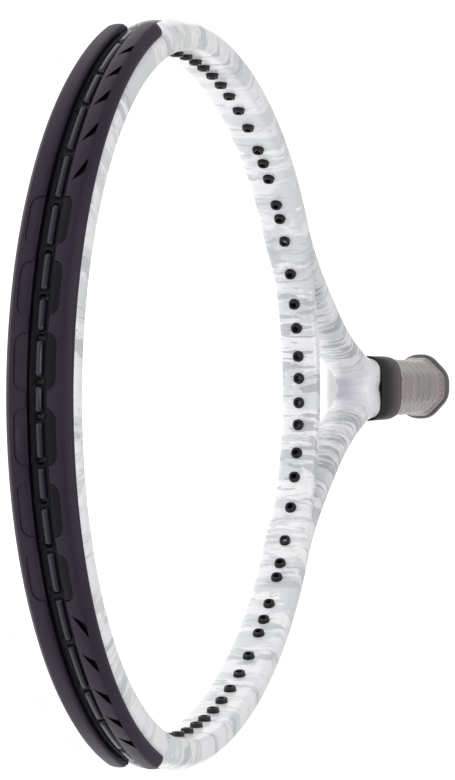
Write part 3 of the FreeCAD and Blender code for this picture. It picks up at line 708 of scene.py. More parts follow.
def build_web():
    """smooth saddle between the two legs, closed by a hollowed, rounded face where the throat opens"""
    fr = [(y, x, s) for x, y, nx, ny, s in arm_frames()]
    ys, xs, ss = (np.array([q[k] for q in fr]) for k in range(3))
    w = 5.6

    def top(x, y):
        y = min(y, 221.5)
        xc, ti, hz, n = float(np.interp(y, ys, xs)), lerp(T_IN, y), lerp(T_Z, y), lerp(N_IN, y)
        z = hz * max(0.0, 1 - min(1.0, abs(w - xc) / ti) ** n) ** (1 / n)
        sag = 0.85 + 0.6 * smooth01(204.0, 222.0, y)
        if abs(x) > w:
            return z - 0.02 - 0.6 * (abs(x) - w)
        return z - 0.02 - sag * (1 - (x / w) ** 2) ** 2
    rings, uv_s, uv_x = [], [], []
    cols = np.concatenate([[-7.2, -6.6, -6.0], np.linspace(-w, w, 25), [6.0, 6.6, 7.2]])
    for x in cols:
        q = min(1.0, abs(x) / w)
        ye = 224.3 + 2.2 * q * q
        rr = 3.2
        pts = [(y, top(x, y)) for y in np.linspace(184.0, ye - rr, 28)]
        ze = top(x, ye - rr)
        ze2 = ze - 0.9
        pts += [(ye - rr + rr * math.sin(a), ze2 - rr + rr * math.cos(a) + 0.9 * (1 - a / (math.pi / 2)) ** 2) for a in np.linspace(0, math.pi / 2, 9)[1:]]
        zf = pts[-1][1]
        mid = [(ye - 0.5 * (1 - (z / zf) ** 2), z) for z in np.linspace(zf, -zf, 13)[1:-1]]
        full = pts + mid + [(y, -z) for y, z in pts[::-1]]
        rings.append([(x, y, z) for y, z in full])
    rings = np.array(rings)
    v, f, uv = grid_mesh(rings)
    flat = rings.reshape(-1, 3)
    loops = [i for face in f for i in face]
    uv = [(float(np.interp(flat[i][1], ys, ss)) / 100, (abs(flat[i][0]) * 0.9 + (10.0 - abs(flat[i][2])) + 3.0) / 100 * (1 if flat[i][2] > 0 else -1)) for i in loops]
    return make("web", v, f, [PAINT], uv, sharp=50)


tube = build_tube()
cut(tube, [hole_cutters(both(side_holes + tip_holes), 2.42, "drill_a")], 40)
TUBE_WEB = build_web()

# ------------------------------------------------------------------ throat bridge
rings, us = [], []
for d in np.linspace(-36.0, 36.0, 101):
    w = smooth01(21.5, 33.0, abs(d))
    sink = 0.5 * smooth01(30.5, 36.0, abs(d))
    rc = 7.45 + (MID - 7.45) * w + sink
    hi = 5.95 + (HALF_W - 5.95) * w - sink * 0.1
    ho = 5.95 + (HALF_W - 5.95) * w - sink
    hz = 8.4 + (HALF_D - 8.4) * w - sink * 0.9
    g = 2.2 + 0.2 * w
    sec = tube_section(hi, ho, hz, 4.6 + 0.9 * w, 2.7 - 0.6 * w, g)
    sec[:, 0] += rc
    x, y, nx, ny = ell(math.radians(d), 0.0)
    rings.append(ring_pts((x, y, nx, ny), sec))
    us.append(hoop_s(d))
v, f, uv = grid_mesh(np.array(rings), np.array(us), split=len(rings[0]) // 2)
bridge = make("throat_yoke", v, f, [PAINT, HOLE], uv, sharp=40)
cut(bridge, [hole_cutters(both(throat_holes + side_holes[:1]), 2.42, "drill_b")], 40)

# ------------------------------------------------------------------ bumper guard
# upper half of the section from the channel's floor over the rail to the underside
B_UP = [(12.35, 0.0), (12.35, 1.2), (12.35, 2.35), (12.42, 2.75), (12.65, 2.95), (13.4, 2.96), (14.25, 2.98), (14.68, 3.04), (14.98, 3.2),
        (15.2, 3.48), (15.36, 3.9), (15.48, 4.6), (15.54, 5.4), (15.52, 6.2), (15.44, 7.0), (15.32, 7.7), (15.2, 8.05), (15.02, 8.32), (14.7, 8.62),
        (14.2, 9.05), (13.65, 9.5), (13.15, 9.86), (12.7, 10.08), (12.2, 10.2), (11.6, 10.24), (11.2, 10.14), (10.9, 9.9), (10.72, 9.5), (10.68, 8.9)]
B_LO = [(10.9, 8.6), (11.2, 8.2), (11.75, 7.3), (12.4, 5.7), (12.6, 5.0), (12.5, 4.2), (11.78, 3.4), (11.78, 1.6), (11.78, 0.0)]
RAIL_TOP = sorted([(z, r) for r, z in B_UP if 3.2 <= z <= 10.0 and r > 12.3])
ends = math.radians(BUMPER_START)
B_S0, B_S1 = hoop_s(BUMPER_START), 2 * HOOP_LEN - hoop_s(BUMPER_START)


def bumper_frame(s):
    """frame on the head ellipse at arc length s (mm along the tube's centre line, from the throat over the right side)"""
    left = s > HOOP_LEN
    q = 2 * HOOP_LEN - s if left else s
    t = float(np.interp(q, _S, _T))
    x, y, nx, ny = ell(t, 0.0)
    return (-x, y, -nx, ny) if left else (x, y, nx, ny)


def thumb(s, L=6.5):
    """0 at the very end of the rails, 1 from L mm on"""
    e = min(s - B_S0, B_S1 - s)
    q = min(1.0, max(0.0, e / L))
    return math.sqrt(max(0.0, 1 - (1 - q) ** 2))


full = B_UP + B_LO
sec_up = np.array(full)
sec = np.concatenate([sec_up, np.array([(r, -z) for r, z in full[::-1]])[1:-1]])
rings, us = [], []
span = B_S1 - B_S0
stn = sorted(set([0.0, 0.08, 0.25, 0.5, 0.85, 1.3, 1.9, 2.6, 3.4, 4.3, 5.3, 6.4, 7.6, 9.0] + list(np.arange(10.2, span - 9.6, 1.15))
                 + [span - q for q in (0.0, 0.08, 0.25, 0.5, 0.85, 1.3, 1.9, 2.6, 3.4, 4.3, 5.3, 6.4, 7.6, 9.0)]))
for q in stn:
    s = B_S0 + q
    k = thumb(s)
    p = sec.copy()
    sg = np.sign(p[:, 1])
    z, r = np.abs(p[:, 1]), p[:, 0]
    # rails sink and close up to a rounded end, the floor stays
    lift = np.clip((r - 11.9) / 3.6, 0, 1)
    r2 = np.where(r > 11.9, 11.9 + (r - 11.9) * (0.60 + 0.40 * k), r)
    zc = 5.9
    z2 = np.where(z > 3.0, zc + (z - zc) * np.where(z > zc, 0.22 + 0.78 * k ** 1.3, 0.42 + 0.58 * k ** 0.8), z)
    z2 = np.where(z <= 3.0, z * (1.0 + 0.12 * (1 - k)), z2)
    # the skirt follows the tube's round flank, just off it
    tube_r = MID + HALF_W * np.clip(1 - np.clip(z2 / HALF_D, 0, 0.999) ** 2.1, 0, 1) ** (1 / 2.1)
    r2 = np.where((z > 3.3), np.maximum(r2, tube_r + 0.03), r2)
    rings.append(ring_pts(bumper_frame(s), np.stack([r2, z2 * sg], 1)))
    us.append(s)
v, f, uv = grid_mesh(np.array(rings), np.array(us))
bumper = make("head_bumper", v, f, [BUMPER, GLOSS, HOLE], uv, sharp=38)
# every face starts with the satin material; the channel's polished walls and floor are set further down
gm = []
for p in bumper.data.polygons:
    gm.append(0)
bumper.data.polygons.foreach_set("material_index", np.array(gm, np.int32))


def top_r(z):
    z = min(9.8, max(3.25, abs(z)))
    return float(np.interp(z, [q[0] for q in RAIL_TOP], [q[1] for q in RAIL_TOP]))


def recess(s0, s1, zlo, zhi, depth, n=30, k=9, side=1):
    """ladder-shaped cutter on one rail between arc lengths s0 and s1; zlo and zhi are functions of 0..1; side is the sign of z"""
    rings = []
    for i in range(n + 1):
        q = i / n
        a, b = zlo(q), zhi(q)
        if b - a < 0.03:
            b = a + 0.03
        zz = np.linspace(a, b, k)
        dd = depth(q) if callable(depth) else depth
        bot = [(top_r(z) - dd, side * z) for z in zz]
        top = [(17.5, side * z) for z in zz[::-1]]
        rings.append(ring_pts(bumper_frame(s0 + (s1 - s0) * q), bot + top))
    return grid_mesh(np.array(rings))


def hs(deg):
    return hoop_s(deg) if deg <= 180 else 2 * HOOP_LEN - hoop_s(360 - deg)


cuts = []
# slanted triangular notches on the +Z rail
for deg, back in ((127.3, 1), (133.1, 1), (138.7, 1), (145.0, 1), (151.1, 1), (208.8, -1), (214.8, -1), (221.2, -1), (226.9, -1), (232.6, -1)):
    c = hs(deg)
    # long outer edge near the ridge, point near the channel, lying further towards the tip
    e0, e1, e2 = -4.6, 0.6, 3.6
    if back > 0:
        s0, s1 = c + e0, c + e2
        knee = (e1 - e0) / (e2 - e0)
        hi_f = lambda q, kn=knee: 8.05 if q <= kn else 8.05 + (4.35 - 8.05) * (q - kn) / (1 - kn)
        lo_f = lambda q: 8.0 + (4.3 - 8.0) * q
    else:
        s0, s1 = c - e2, c - e0
        knee = (e2 - e1) / (e2 - e0)
        hi_f = lambda q, kn=knee: 4.35 + (8.05 - 4.35) * q / kn if q <= kn else 8.05
        lo_f = lambda q: 4.3 + (8.0 - 4.3) * q
    cuts.append(recess(s0, s1, lo_f, hi_f, 1.35, 26, 7))
NOTCHES = cuts
cuts, LOW_PANELS = [], []
# equal rounded panels, set into both rails
P0, P1, NP = hs(154.6), hs(205.4), 6
gap = 4.4
plen = (P1 - P0 - gap * (NP - 1)) / NP
for i in range(NP):
    s0 = P0 + i * (plen + gap)
    R = 3.3

    def z_out(q, zmax, R=R, L=plen):
        e = min(q, 1 - q) * L
        return zmax if e >= R else zmax - (R - math.sqrt(max(0.0, R * R - (R - e) ** 2)))
    cuts.append(recess(s0, s0 + plen, lambda q: 2.2, lambda q: z_out(q, 6.2), 0.42, 44, 11, 1))
    LOW_PANELS.append(recess(s0, s0 + plen, lambda q: 2.2, lambda q: z_out(q, 6.9), 0.36, 44, 11, -1))
v, f, uv = join_parts(cuts)
tool = make("panels", v, f, [GLOSS], uv, sharp=30)
cut(bumper, [tool], 34)
v, f, uv = join_parts(LOW_PANELS)
cut(bumper, [make("panels_low", v, f, [BUMPER], uv, sharp=30)], 34)
v, f, uv = join_parts(NOTCHES)
cut(bumper, [make("notches", v, f, [NOTCH], uv, sharp=30)], 34)
cut(bumper, [hole_cutters(both(tip_holes), 1.9, "drill_c", 0.0, 0.0, 8.0)], 34)

# the channel itself is polished: walls and floor; its darker colour there is partly painted shade in the recess
me = bumper.data
idx = {m.name: i for i, m in enumerate(me.materials)}
for p in me.polygons:
    c = p.center * 1000
    t = angle_at(abs(c.x), c.y)
    ex = ell(t, 0.0)
    r = (abs(c.x) - ex[0]) * ex[2] + (c.y - ex[1]) * ex[3]
    if abs(c.z) < 3.0 and 12.2 < r < 14.75 and p.material_index == 0:
        p.material_index = idx["guard_gloss"]


# ------------------------------------------------------------------ grommets
def barrel(a, b, R=2.3, bore=1.15, tip=0.0):
    L = float(np.linalg.norm(b - a))
    prof = [(0.10, bore + 0.12), (0.0, bore + 0.42), (0.0, R - 0.55), (0.10, R - 0.22), (0.38, R - 0.03), (0.8, R), (2.2, R), (L * 0.6, R - 0.05), (L, R - 0.1),
            (L, bore), (L * 0.5, bore - 0.03), (0.45, bore)]
    return lathe(a, b, prof, 28, 2.5)


def eyelet(a, b, at, R, h, bore=1.15):
    """flat rounded washer on the axis of a hole, its base at distance at from a"""
    prof = [(at, R), (at + h * 0.55, R - 0.02), (at + h * 0.9, R - 0.18), (at + h, R - 0.42), (at + h, bore + 0.38), (at + h * 0.8, bore + 0.12), (at + h * 0.4, bore), (at, bore)]
    u = (b - a) / np.linalg.norm(b - a)
    return lathe(a, a + u * 40, prof, 28, 2.0)


def ribbon(frames, r0, r1, half, us=None):
    prof = [(r0, 0.0), (r0, half - 0.25), (r0 + 0.15, half - 0.05), (r0 + 0.4, half), (r1 - 0.35, half), (r1 - 0.12, half - 0.08), (r1, half - 0.35),
            (r1, half - 0.75), (r1 - 0.16, half - 0.95), (r1 - 0.2, half - 1.3), (r1 - 0.2, 0.7), (r1 - 0.2, 0.0)]
    up = prof[::-1]
    ring = up + [(r, -z) for r, z in prof[1:-1]]
    return grid_mesh(np.array([ring_pts(fr, ring) for fr in frames]))


def strip_piece(name, frames, r0, r1, holes, half=3.3, washer=2.75, wh=0.5, top=None):
    base = make(name, *[q for q in (lambda t: (t[0], t[1]))(ribbon(frames, r0, r1, half))], [GROMMET, HOLE], ribbon(frames, r0, r1, half)[2], sharp=36)
    parts = []
    for a, b in holes:
        L = float(np.linalg.norm(b - a))
        u = (b - a) / L
        parts.append(rod(a + u * 4, b + u * 6, [(0.0, 1.3), (L + 2.0, 1.3)], 20))
    v, f, uv = join_parts(parts)
    cut(base, [make(name + "_t", v, f, [HOLE], uv)], 36)
    parts = []
    for a, b in holes:
        parts.append(barrel(a, b))
        t = angle_at(abs(b[0]), b[1])
        e = ell(t, 0.0)
        rb = (abs(b[0]) - e[0]) * e[2] + (b[1] - e[1]) * e[3]
        at = float(np.linalg.norm(b - a)) + ((r1 if top is None else top) - 0.25 - rb)
        parts.append(eyelet(a, b, at, washer, wh))
    v, f, uv = join_parts(parts)
    extra = make(name + "_b", v, f, [GROMMET], uv, sharp=40)
    return merge(base, extra)


def merge(a, b):
    """one object out of two, with b's faces in the slots that have the same material"""
    bm = bmesh.new()
    bm.from_mesh(a.data)
    names = [m.name for m in a.data.materials]
    for m in b.data.materials:
        if m.name not in names:
            a.data.materials.append(m)
            names.append(m.name)
    remap = [names.index(m.name) for m in b.data.materials]
    tmp = b.data.copy()
    for p in tmp.polygons:
        p.material_index = remap[p.material_index]
    bm.from_mesh(tmp)
    bm.to_mesh(a.data)
    bm.free()
    old = b.data
    bpy.data.objects.remove(b)
    bpy.data.meshes.remove(old)
    bpy.data.meshes.remove(tmp)
    a.data.update()
    return a


def frames_deg(d0, d1, step, off=0.0):
    n = max(2, int(round(abs(d1 - d0) / step)))
    return [ell(math.radians(d0 + (d1 - d0) * k / n), off) for k in range(n + 1)]


arm_part = []
for x, y, nx, ny, s in arm_frames():
    if y > 351.5:
        arm_part.append((x - nx * MID, y - ny * MID, nx, ny))
side = arm_part + frames_deg(JOIN, BUMPER_START - 0.6, 0.9)
strip_r = strip_piece("strip_right", side, GROOVE_FLOOR + 0.12, 11.95, side_holes)
side_l = [(-x, y, -nx, ny) for x, y, nx, ny in side]
strip_l = strip_piece("strip_left", side_l, GROOVE_FLOOR + 0.12, 11.95, [(mirror_x(a), mirror_x(b)) for a, b in side_holes])
strip_t = strip_piece("strip_throat", frames_deg(-19.6, 19.6, 0.8), 11.26, 12.4, both(throat_holes))

# head strip: barrels inside, eyelets and raised bars in the channel
head_parts, bar_parts = [], []
hole_s = []
for a, b in both(tip_holes):
    head_parts.append(barrel(a, b))
    t = angle_at(abs(b[0]), b[1])
    e = ell(t, 0.0)
    rb = (abs(b[0]) - e[0]) * e[2] + (b[1] - e[1]) * e[3]
    L = float(np.linalg.norm(b - a))
    head_parts.append(eyelet(a, b, L + (12.35 - rb) - 0.8, 1.88, 1.02, 1.2))
    s = hoop_s(math.degrees(t))
    hole_s.append(s if b[0] > 0 else 2 * HOOP_LEN - s)
hole_s.sort()
for i, (s0, s1) in enumerate(zip(hole_s, hole_s[1:])):
    a, b = s0 + 1.25, s1 - 1.25
    if b - a < 2.0:
        continue
    n = max(4, int((b - a) / 0.8))
    rings = []
    for k in range(-4, n + 5):
        if k < 0:
            q, e = a - 0.0 + (4 + k) * 0.22, (4 + k) / 4.0
        elif k > n:
            q, e = b - (n + 4 - k) * 0.22, (n + 4 - k) / 4.0
        else:
            q, e = a + 0.9 + (b - a - 1.8) * k / n, 1.0
        e = math.sqrt(max(0.0, 1 - (1 - e) ** 2)) * 0.96 + 0.04
        w, h = 1.45 * (0.7 + 0.3 * e), 1.3 * e
        prof = [(12.2, -w)] + [(12.3 + h * math.sin(g), -w * math.cos(g)) for g in np.radians(np.linspace(8, 172, 13))] + [(12.2, w)]
        rings.append(ring_pts(bumper_frame(q), prof))
    bar_parts.append(grid_mesh(np.array(rings)))
v, f, uv = join_parts(head_parts)
head_strip = make("strip_head", v, f, [GROMMET], uv, sharp=40)
v, f, uv = join_parts(bar_parts)
head_strip = merge(head_strip, make("bars", v, f, [BAR], uv, sharp=40))


# ------------------------------------------------------------------ handle
def oct_ring(hx, hz, fx, fz, rc=2.0, arc=5, edge=5):
    """octagon with rounded corners in (x, z)"""
    P = [(hx, -fz), (hx, fz), (fx, hz), (-fx, hz), (-hx, fz), (-hx, -fz), (-fx, -hz), (fx, -hz)]
    out = []
    n = len(P)
    A = []
    for i in range(n):
        p, c, q = np.array(P[i - 1]), np.array(P[i]), np.array(P[(i + 1) % n])
        u, v = (p - c) / np.linalg.norm(p - c), (q - c) / np.linalg.norm(q - c)
        d = min(rc, 0.45 * np.linalg.norm(p - c), 0.45 * np.linalg.norm(q - c))
        A.append((c + u * d, c, c + v * d))
    for i in range(n):
        a, c, b = A[i]
        for k in range(arc + 1):
            t = k / arc
            out.append((1 - t) ** 2 * a + 2 * t * (1 - t) * c + t * t * b)
        a2 = A[(i + 1) % n][0]
        for k in range(1, edge):
            out.append(b + (a2 - b) * k / edge)
    return np.array(out)


def oct_rings(levels, rc=2.0, arc=5, edge=5):
    out = []
    for lv in levels:
        y, hx, hz, k = lv[:4]
        o = oct_ring(hx, hz, 7.2 * k, 6.0 * k, lv[4] if len(lv) > 4 else rc, arc, edge)
        out.append(np.stack([o[:, 0], np.full(len(o), y), o[:, 1]], 1))
    return np.array(out)


# grip: one strip wound in a spiral, each turn over the edge of the one before
PITCH, Y0, Y1 = 21.5, 13.25, 157.0
rings, strip_uv = [], []
ys = list(np.concatenate([[13.25, 13.3, 13.45, 13.8, 14.4], np.arange(15.2, 156.0, 0.62), [156.2, 157.0, 158.0, 159.2, 160.5, 162.0, 165.0, 168.0, 170.2, 170.8, 171.0]]))
cums = None
for y in ys:
    w = smooth01(156.4, 160.6, y)
    hx, hz = 16.3 + (15.3 - 16.3) * w, 15.1 + (14.1 - 15.1) * w
    fl = 1.0 - smooth01(13.4, 27.0, y)
    hx, hz = hx + 2.1 * fl, hz + 1.7 * fl
    o = oct_ring(hx, hz, 7.2 * (1 - 0.03 * w), 6.0 * (1 - 0.03 * w), 3.2, 6, 7)
    seg = np.linalg.norm(np.roll(o, -1, axis=0) - o, axis=1)
    arc = np.concatenate([[0.0], np.cumsum(seg)])
    per = arc[-1]
    rad = np.linalg.norm(o, axis=1)
    u = arc[:-1] / per
    phase = (y - Y0) / PITCH - u
    fr = phase - np.floor(phase)
    d0 = fr * PITCH                       # mm past the seam
    d1 = (1 - fr) * PITCH                 # mm before the next one
    # the new turn's rounded edge stands proud, the old one dips under it
    lip = 0.30 * np.clip(1 - (1 - np.clip(d0 / 1.7, 0, 1)) ** 2, 0, 1) ** 0.5
    dip = 0.25 * (1 - np.exp(-(d1 / 2.4) ** 2))
    depth = 0.60 - lip - dip * 0.9
    depth = np.where(d0 < 0.45, 0.60 - (d0 / 0.45) * 0.10, depth)
    crown = 0.10 * np.sin(np.pi * fr)
    depth = np.clip(depth - crown, 0.0, 1.0)
    wob = 0.05 * np.sin(u * 2 * np.pi * 7 + y * 0.31) + 0.05
    end = smooth01(13.25, 14.6, y) if y < 100 else (1 - w) * 1.0 + w * 0.3
    e0 = 0.75 * (1 - smooth01(13.2, 14.6, y))
    total = (depth * end + wob * 0.8) * (1 if y < 170 else 0.6) + e0
    if y > 170.5:
        total = total + (0.35 if y < 170.9 else 0.9)
    k = 1 - total / rad
    rings.append(np.stack([o[:, 0] * k, np.full(len(o), y), o[:, 1] * k], 1))
rings = np.array(rings)
v, f, uv = grid_mesh(rings, np.array(ys))
grip = make("wrap_grip", v, f, [GRIP], uv, sharp=50)
lay = grip.data.uv_layers.new(name="strip")
src = np.zeros(len(grip.data.loops) * 2, np.float32)
grip.data.uv_layers["run"].data.foreach_get("uv", src)
src = src.reshape(-1, 2)
per = 92.0
yy, aa = src[:, 0] * 100, src[:, 1] * 100
phase = (yy - Y0) / PITCH - aa / per
tilt = math.atan2(PITCH, per)
across = (yy * math.cos(tilt) - aa * math.sin(tilt)) / 100
along = (yy * math.sin(tilt) + aa * math.cos(tilt)) / 100
lay.data.foreach_set("uv", np.stack([along, across], 1).astype(np.float32).ravel())

# finishing tape, two turns with a step where it ends
rings = []
for y, g in ((161.0, 0.12), (161.06, 0.03), (161.3, 0.0), (163.6, 0.0), (163.75, 0.06), (166.0, 0.06), (168.2, 0.05), (170.3, 0.05), (170.55, 0.12)):
    o = oct_ring(15.55 - g, 14.35 - g, 6.98, 5.82, 2.8, 6, 4)
    rings.append(np.stack([o[:, 0], np.full(len(o), y), o[:, 1]], 1))
for y in (170.55, 161.0):
    o = oct_ring(15.36, 14.16, 6.98, 5.82, 2.8, 6, 4)
    rings.append(np.stack([o[:, 0], np.full(len(o), y), o[:, 1]], 1))
rings.append(rings[0])
rings = np.array(rings)
v, f, uv = grid_mesh(rings, caps=False)
m = rings.shape[1]
nv = (rings.shape[0] - 1) * m
f = [tuple(q if q < nv else q - nv for q in face) for face in f]
tape = make("wrap_tape", v[:nv], f, [TAPE], uv, sharp=50)


# rubber collar: skirt over the grip's end, cone down to the shaft, rolled lips and three fine ribs
def super_ring(y, hx, hz, n, m=96):
    th = 2 * math.pi * (np.arange(m) + 0.5) / m
    c, s = np.cos(th), np.sin(th)
    return np.stack([np.sign(c) * np.abs(c) ** (2 / n) * hx, np.full(m, y), np.sign(s) * np.abs(s) ** (2 / n) * hz], 1)


def even_ring(y, hx, hz, n, m=96):
    th = np.linspace(0, 2 * math.pi, 1441)
    c, s = np.cos(th), np.sin(th)
    p = np.stack([np.sign(c) * np.abs(c) ** (2 / n) * hx, np.sign(s) * np.abs(s) ** (2 / n) * hz], 1)
    q = resample(p, m + 1)[:-1]
    return np.stack([q[:, 0], np.full(m, y), q[:, 1]], 1)


C_OUT = [(165.0, 16.95, 15.35, 3.7), (165.12, 17.3, 15.7, 3.7), (165.45, 17.5, 15.9, 3.7), (166.0, 17.55, 15.95, 3.7), (167.2, 17.55, 15.95, 3.7), (167.7, 17.45, 15.82, 3.7),
         (168.1, 17.28, 15.65, 3.7), (168.6, 17.26, 15.62, 3.7), (170.0, 17.3, 15.66, 3.7), (172.0, 17.32, 15.68, 3.7), (174.2, 17.32, 15.68, 3.7), (174.6, 17.2, 15.5, 3.7), (175.0, 17.32, 15.64, 3.7),
         (176.6, 17.32, 15.6, 3.7), (177.0, 17.2, 15.4, 3.7), (177.4, 17.32, 15.5, 3.7), (179.0, 17.34, 15.36, 3.7), (179.4, 17.2, 15.2, 3.7), (179.8, 17.34, 15.26, 3.7),
         (182.0, 17.36, 15.02, 3.7), (185.0, 17.38, 14.62, 3.75), (188.0, 17.4, 14.05, 3.8), (191.0, 17.42, 13.45, 3.85), (194.0, 17.44, 12.8, 3.6), (196.4, 17.44, 12.25, 3.5), (197.2, 17.42, 12.05, 3.48),
         (197.6, 17.34, 11.9, 3.46), (198.0, 17.44, 11.95, 3.45), (198.8, 17.5, 11.9, 3.42), (199.4, 17.46, 11.8, 3.4), (199.8, 17.34, 11.65, 3.4), (200.0, 17.16, 11.45, 3.4)]
C_IN = [(200.0, 16.98, 11.22, 3.45), (199.6, 16.9, 11.12, 3.45), (196.0, 16.9, 11.3, 3.55), (190.0, 16.9, 12.0, 3.8), (184.0, 16.9, 13.2, 3.7), (176.0, 16.5, 14.4, 3.7), (174.0, 16.3, 14.95, 3.7),
        (168.0, 16.3, 14.95, 3.7), (165.4, 16.35, 15.0, 3.7), (165.1, 16.5, 15.1, 3.7)]
rings = [even_ring(*q) for q in C_OUT + C_IN]
rings.append(rings[0])
rings = np.array(rings)
v, f, uv = grid_mesh(rings, caps=False)
m = rings.shape[1]
nv = (rings.shape[0] - 1) * m
f = [tuple(q if q < nv else q - nv for q in face) for face in f]
collar = make("neck_collar", v[:nv], f, [RUBBER], uv, sharp=60)

# butt cap
levels = [(0.0, 18.1, 15.9, 1.0, 3.0), (0.1, 18.55, 16.35, 1.0, 3.1), (0.35, 19.05, 16.8, 1.01, 3.2), (0.9, 19.75, 17.45, 1.03, 5.0), (1.7, 20.2, 17.9, 1.04, 5.4), (3.0, 20.45, 18.15, 1.05, 5.6), (5.5, 20.42, 18.12, 1.05, 5.6),
          (8.6, 20.25, 17.95, 1.05, 5.6), (9.5, 20.1, 17.8, 1.05, 5.6), (10.3, 19.6, 17.45, 1.04, 5.4), (11.0, 18.8, 16.9, 1.03, 5.0), (11.7, 17.8, 16.2, 1.02, 4.2), (12.3, 16.6, 15.2, 1.01, 2.6), (12.8, 15.2, 13.9, 1.0, 2.4),
          (13.0, 14.4, 13.2, 1.0, 2.2), (14.0, 14.38, 13.18, 1.0, 2.2), (37.6, 14.38, 13.18, 1.0, 2.2), (38.0, 14.1, 12.9, 1.0, 2.2)]
v, f, uv = grid_mesh(oct_rings(levels, 3.2, 6, 6))
cap = make("cap_butt", v, f, [FLARE, HOLE], uv, sharp=40)


def rbox(name, x0, x1, y0, y1, z0, z1, bev, seg, mats):
    bm = bmesh.new()
    bmesh.ops.create_cube(bm, size=1.0)
    for w in bm.verts:
        w.co = Vector(((x0 + x1) / 2 + w.co.x * (x1 - x0), (y0 + y1) / 2 + w.co.y * (y1 - y0), (z0 + z1) / 2 + w.co.z * (z1 - z0)))
    if bev:
        bmesh.ops.bevel(bm, geom=bm.edges[:], offset=bev, segments=seg, profile=0.5, affect="EDGES", clamp_overlap=True)
    vv = np.array([w.co[:] for w in bm.verts])
    ff = [tuple(w.index for w in p.verts) for p in bm.faces]
    bm.free()
    uvq = [(vv[i][0] / 100, vv[i][2] / 100) for p in ff for i in p]
    return vv, ff, uvq


def tool_from(name, parts, mat, sharp=34):
    v, f, uv = join_parts(parts)
    return make(name, v, f, [mat], uv, sharp=sharp)


cut(cap, [tool_from("t1", [rbox("", -9.35, 9.35, -1.0, 2.15, -7.15, 7.55, 0.0, 1, None)], CAP)], 36)
cut(cap, [tool_from("t2", [rbox("", -8.0, 8.0, 1.5, 9.0, -5.8, 4.6, 0.6, 2, None)], HOLE)], 36)
cut(cap, [tool_from("t3", [rod((0, -1.0, -7.4), (0, 1.6, -7.4), [(0.0, 3.6), (1.6, 3.3), (2.6, 3.0)], 32)], CAP)], 36)
# a plain ring line round the flange is not made: the loop below does nothing
bm_parts = []
ring_o = []
for y, g in ((6.2, 1.6), (6.2, -0.25), (6.9, -0.25), (6.9, 1.6)):
    pass

# trap door
dv, df, duv = rbox("", -9.0, 9.0, 0.0, 1.8, -6.8, 5.1, 0.32, 3, None)
door = make("door_trap", dv, df, [CAP, GLOSS], duv, sharp=40)
grooves = []
for zc in (-4.9, -3.9, -2.9):
    grooves.append(rbox("", -4.6, 4.6, -0.5, 0.28, zc - 0.22, zc + 0.22, 0.1, 2, None))
cut(door, [tool_from("t4", grooves, CAP)], 36)
hb = [rod((-9.0, 0.95, 6.2), (9.0, 0.95, 6.2), [(0.0, 0.7), (0.18, 0.9), (17.82, 0.9), (18.0, 0.7)], 24),
      rod((-10.55, 0.95, 6.2), (10.55, 0.95, 6.2), [(0.0, 0.45), (0.15, 0.6), (20.95, 0.6), (21.1, 0.45)], 20),
      rbox("", -8.9, 8.9, 0.25, 1.62, 4.6, 6.2, 0.1, 1, None)]
door = merge(door, tool_from("hinge", hb, CAP, 40))

tube = merge(tube, TUBE_WEB)

# ------------------------------------------------------------------ what rides where
RIDES = [(tube, "racket", "frame_hairpin", "frame_paint"), (bridge, "racket", "throat_bridge", "frame_paint"),
         (bumper, "racket", "bumper_guard", "bumper"), (head_strip, "racket", "head_grommet_strip", "grommet"),
         (strip_r, "racket", "right_grommet_strip", "grommet"), (strip_l, "racket", "left_grommet_strip", "grommet"),
         (strip_t, "racket", "throat_grommet_strip", "grommet"), (grip, "racket", "base_grip", "grip"),
         (tape, "racket", "finishing_tape", "tape"), (collar, "collar", "grip_collar", "collar_rubber"),
         (cap, "racket", "butt_cap", "butt_plastic"), (door, "trap_door", "trap_door", "butt_plastic")]
for ob, body, node, slot in RIDES:
    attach(ob, body)
    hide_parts(node)

for node, mat in (("handle_pallet_upper", PALLET), ("handle_pallet_lower", PALLET), ("balance_weight", LEAD), ("leg_foam_plugs", FOAM),
                  ("butt_cap_staples", STEEL), ("grip_start_staple", STEEL)):
    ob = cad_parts[node]
    if not ob.material_slots:
        ob.data.materials.append(mat)
    for s in ob.material_slots:
        s.material = mat

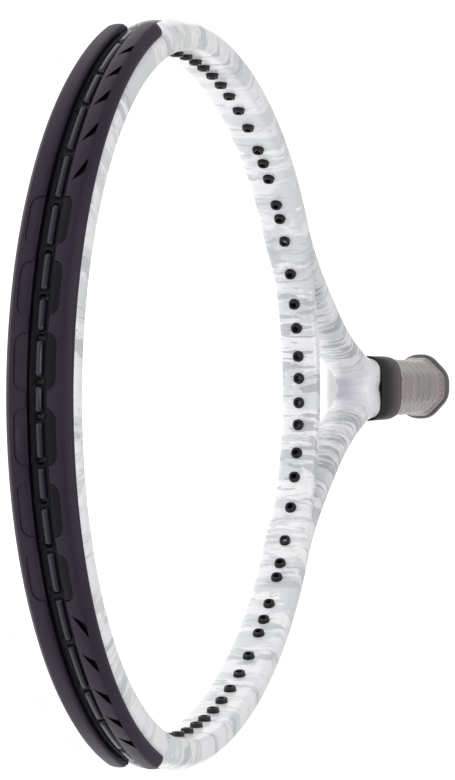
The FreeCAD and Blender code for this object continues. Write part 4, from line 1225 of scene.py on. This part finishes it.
# ------------------------------------------------------------------ floor, light, camera
n = Nodes("floor_pale")
fine = n.noise(n.obj((3.0, 3.0, 3.0)), 1.0, 3.0, 0.5)
col = n.mix(fine, srgb(222, 222, 222), srgb(226, 226, 226))
n.set(color=col, rough=0.9, spec=0.0)
n.put(n.bsdf.inputs["Emission Color"], (1.0, 1.0, 1.0, 1.0))
n.put(n.bsdf.inputs["Emission Strength"], 0.60)
FLOOR = n.m
S = 6000.0
N = 12
fv = [(-S + 2 * S * i / N, -S + 2 * S * j / N, -18.4) for j in range(N + 1) for i in range(N + 1)]
ff = [(j * (N + 1) + i, j * (N + 1) + i + 1, (j + 1) * (N + 1) + i + 1, (j + 1) * (N + 1) + i) for j in range(N) for i in range(N)]
floor = make("floor", fv, ff, [FLOOR])

world = bpy.data.worlds.new("studio")
SCENE.world = world
world.use_nodes = True
bg = world.node_tree.nodes.get("Background") or world.node_tree.nodes.new("ShaderNodeBackground")
bg.inputs[0].default_value = (1.0, 1.0, 1.0, 1.0)
bg.inputs[1].default_value = 0.50


def area(name, loc, target, sx, sy, power):
    li = bpy.data.lights.new(name, "AREA")
    li.shape = "RECTANGLE"
    li.size, li.size_y = sx, sy
    li.energy = power
    ob = bpy.data.objects.new(name, li)
    ob.location = loc
    d = Vector(target) - Vector(loc)
    ob.rotation_euler = d.to_track_quat("-Z", "Y").to_euler()
    COLL.objects.link(ob)
    return ob


area("soft_top", (0.1, 0.5, 1.7), (0.0, 0.45, 0.0), 1.6, 1.6, 7.0)
area("soft_strip", (0.0, 0.55, 1.25), (0.0, 0.5, 0.0), 1.6, 0.14, 3.4)
area("soft_front", (0.2, 2.1, 0.9), (0.0, 0.5, 0.0), 0.5, 1.2, 4.0)

cam = bpy.data.cameras.new("view")
cam.sensor_width = 36.0
cam.lens = 87.592
cam.clip_start = 0.01
cam.clip_end = 50.0
co = bpy.data.objects.new("view", cam)
right = Vector((-0.0012066, -0.2606865, 0.9654228))
up = Vector((0.9999734, -0.0072631, -0.0007114))
back = Vector((0.0071974, 0.9653962, 0.2606883))
M = Matrix((right, up, back)).transposed().to_4x4()
M.translation = Vector((0.006562, 1.196348, 0.195287))
co.matrix_world = M
COLL.objects.link(co)
SCENE.camera = co
SCENE.view_settings.view_transform = "Standard"
SCENE.view_settings.look = "None"
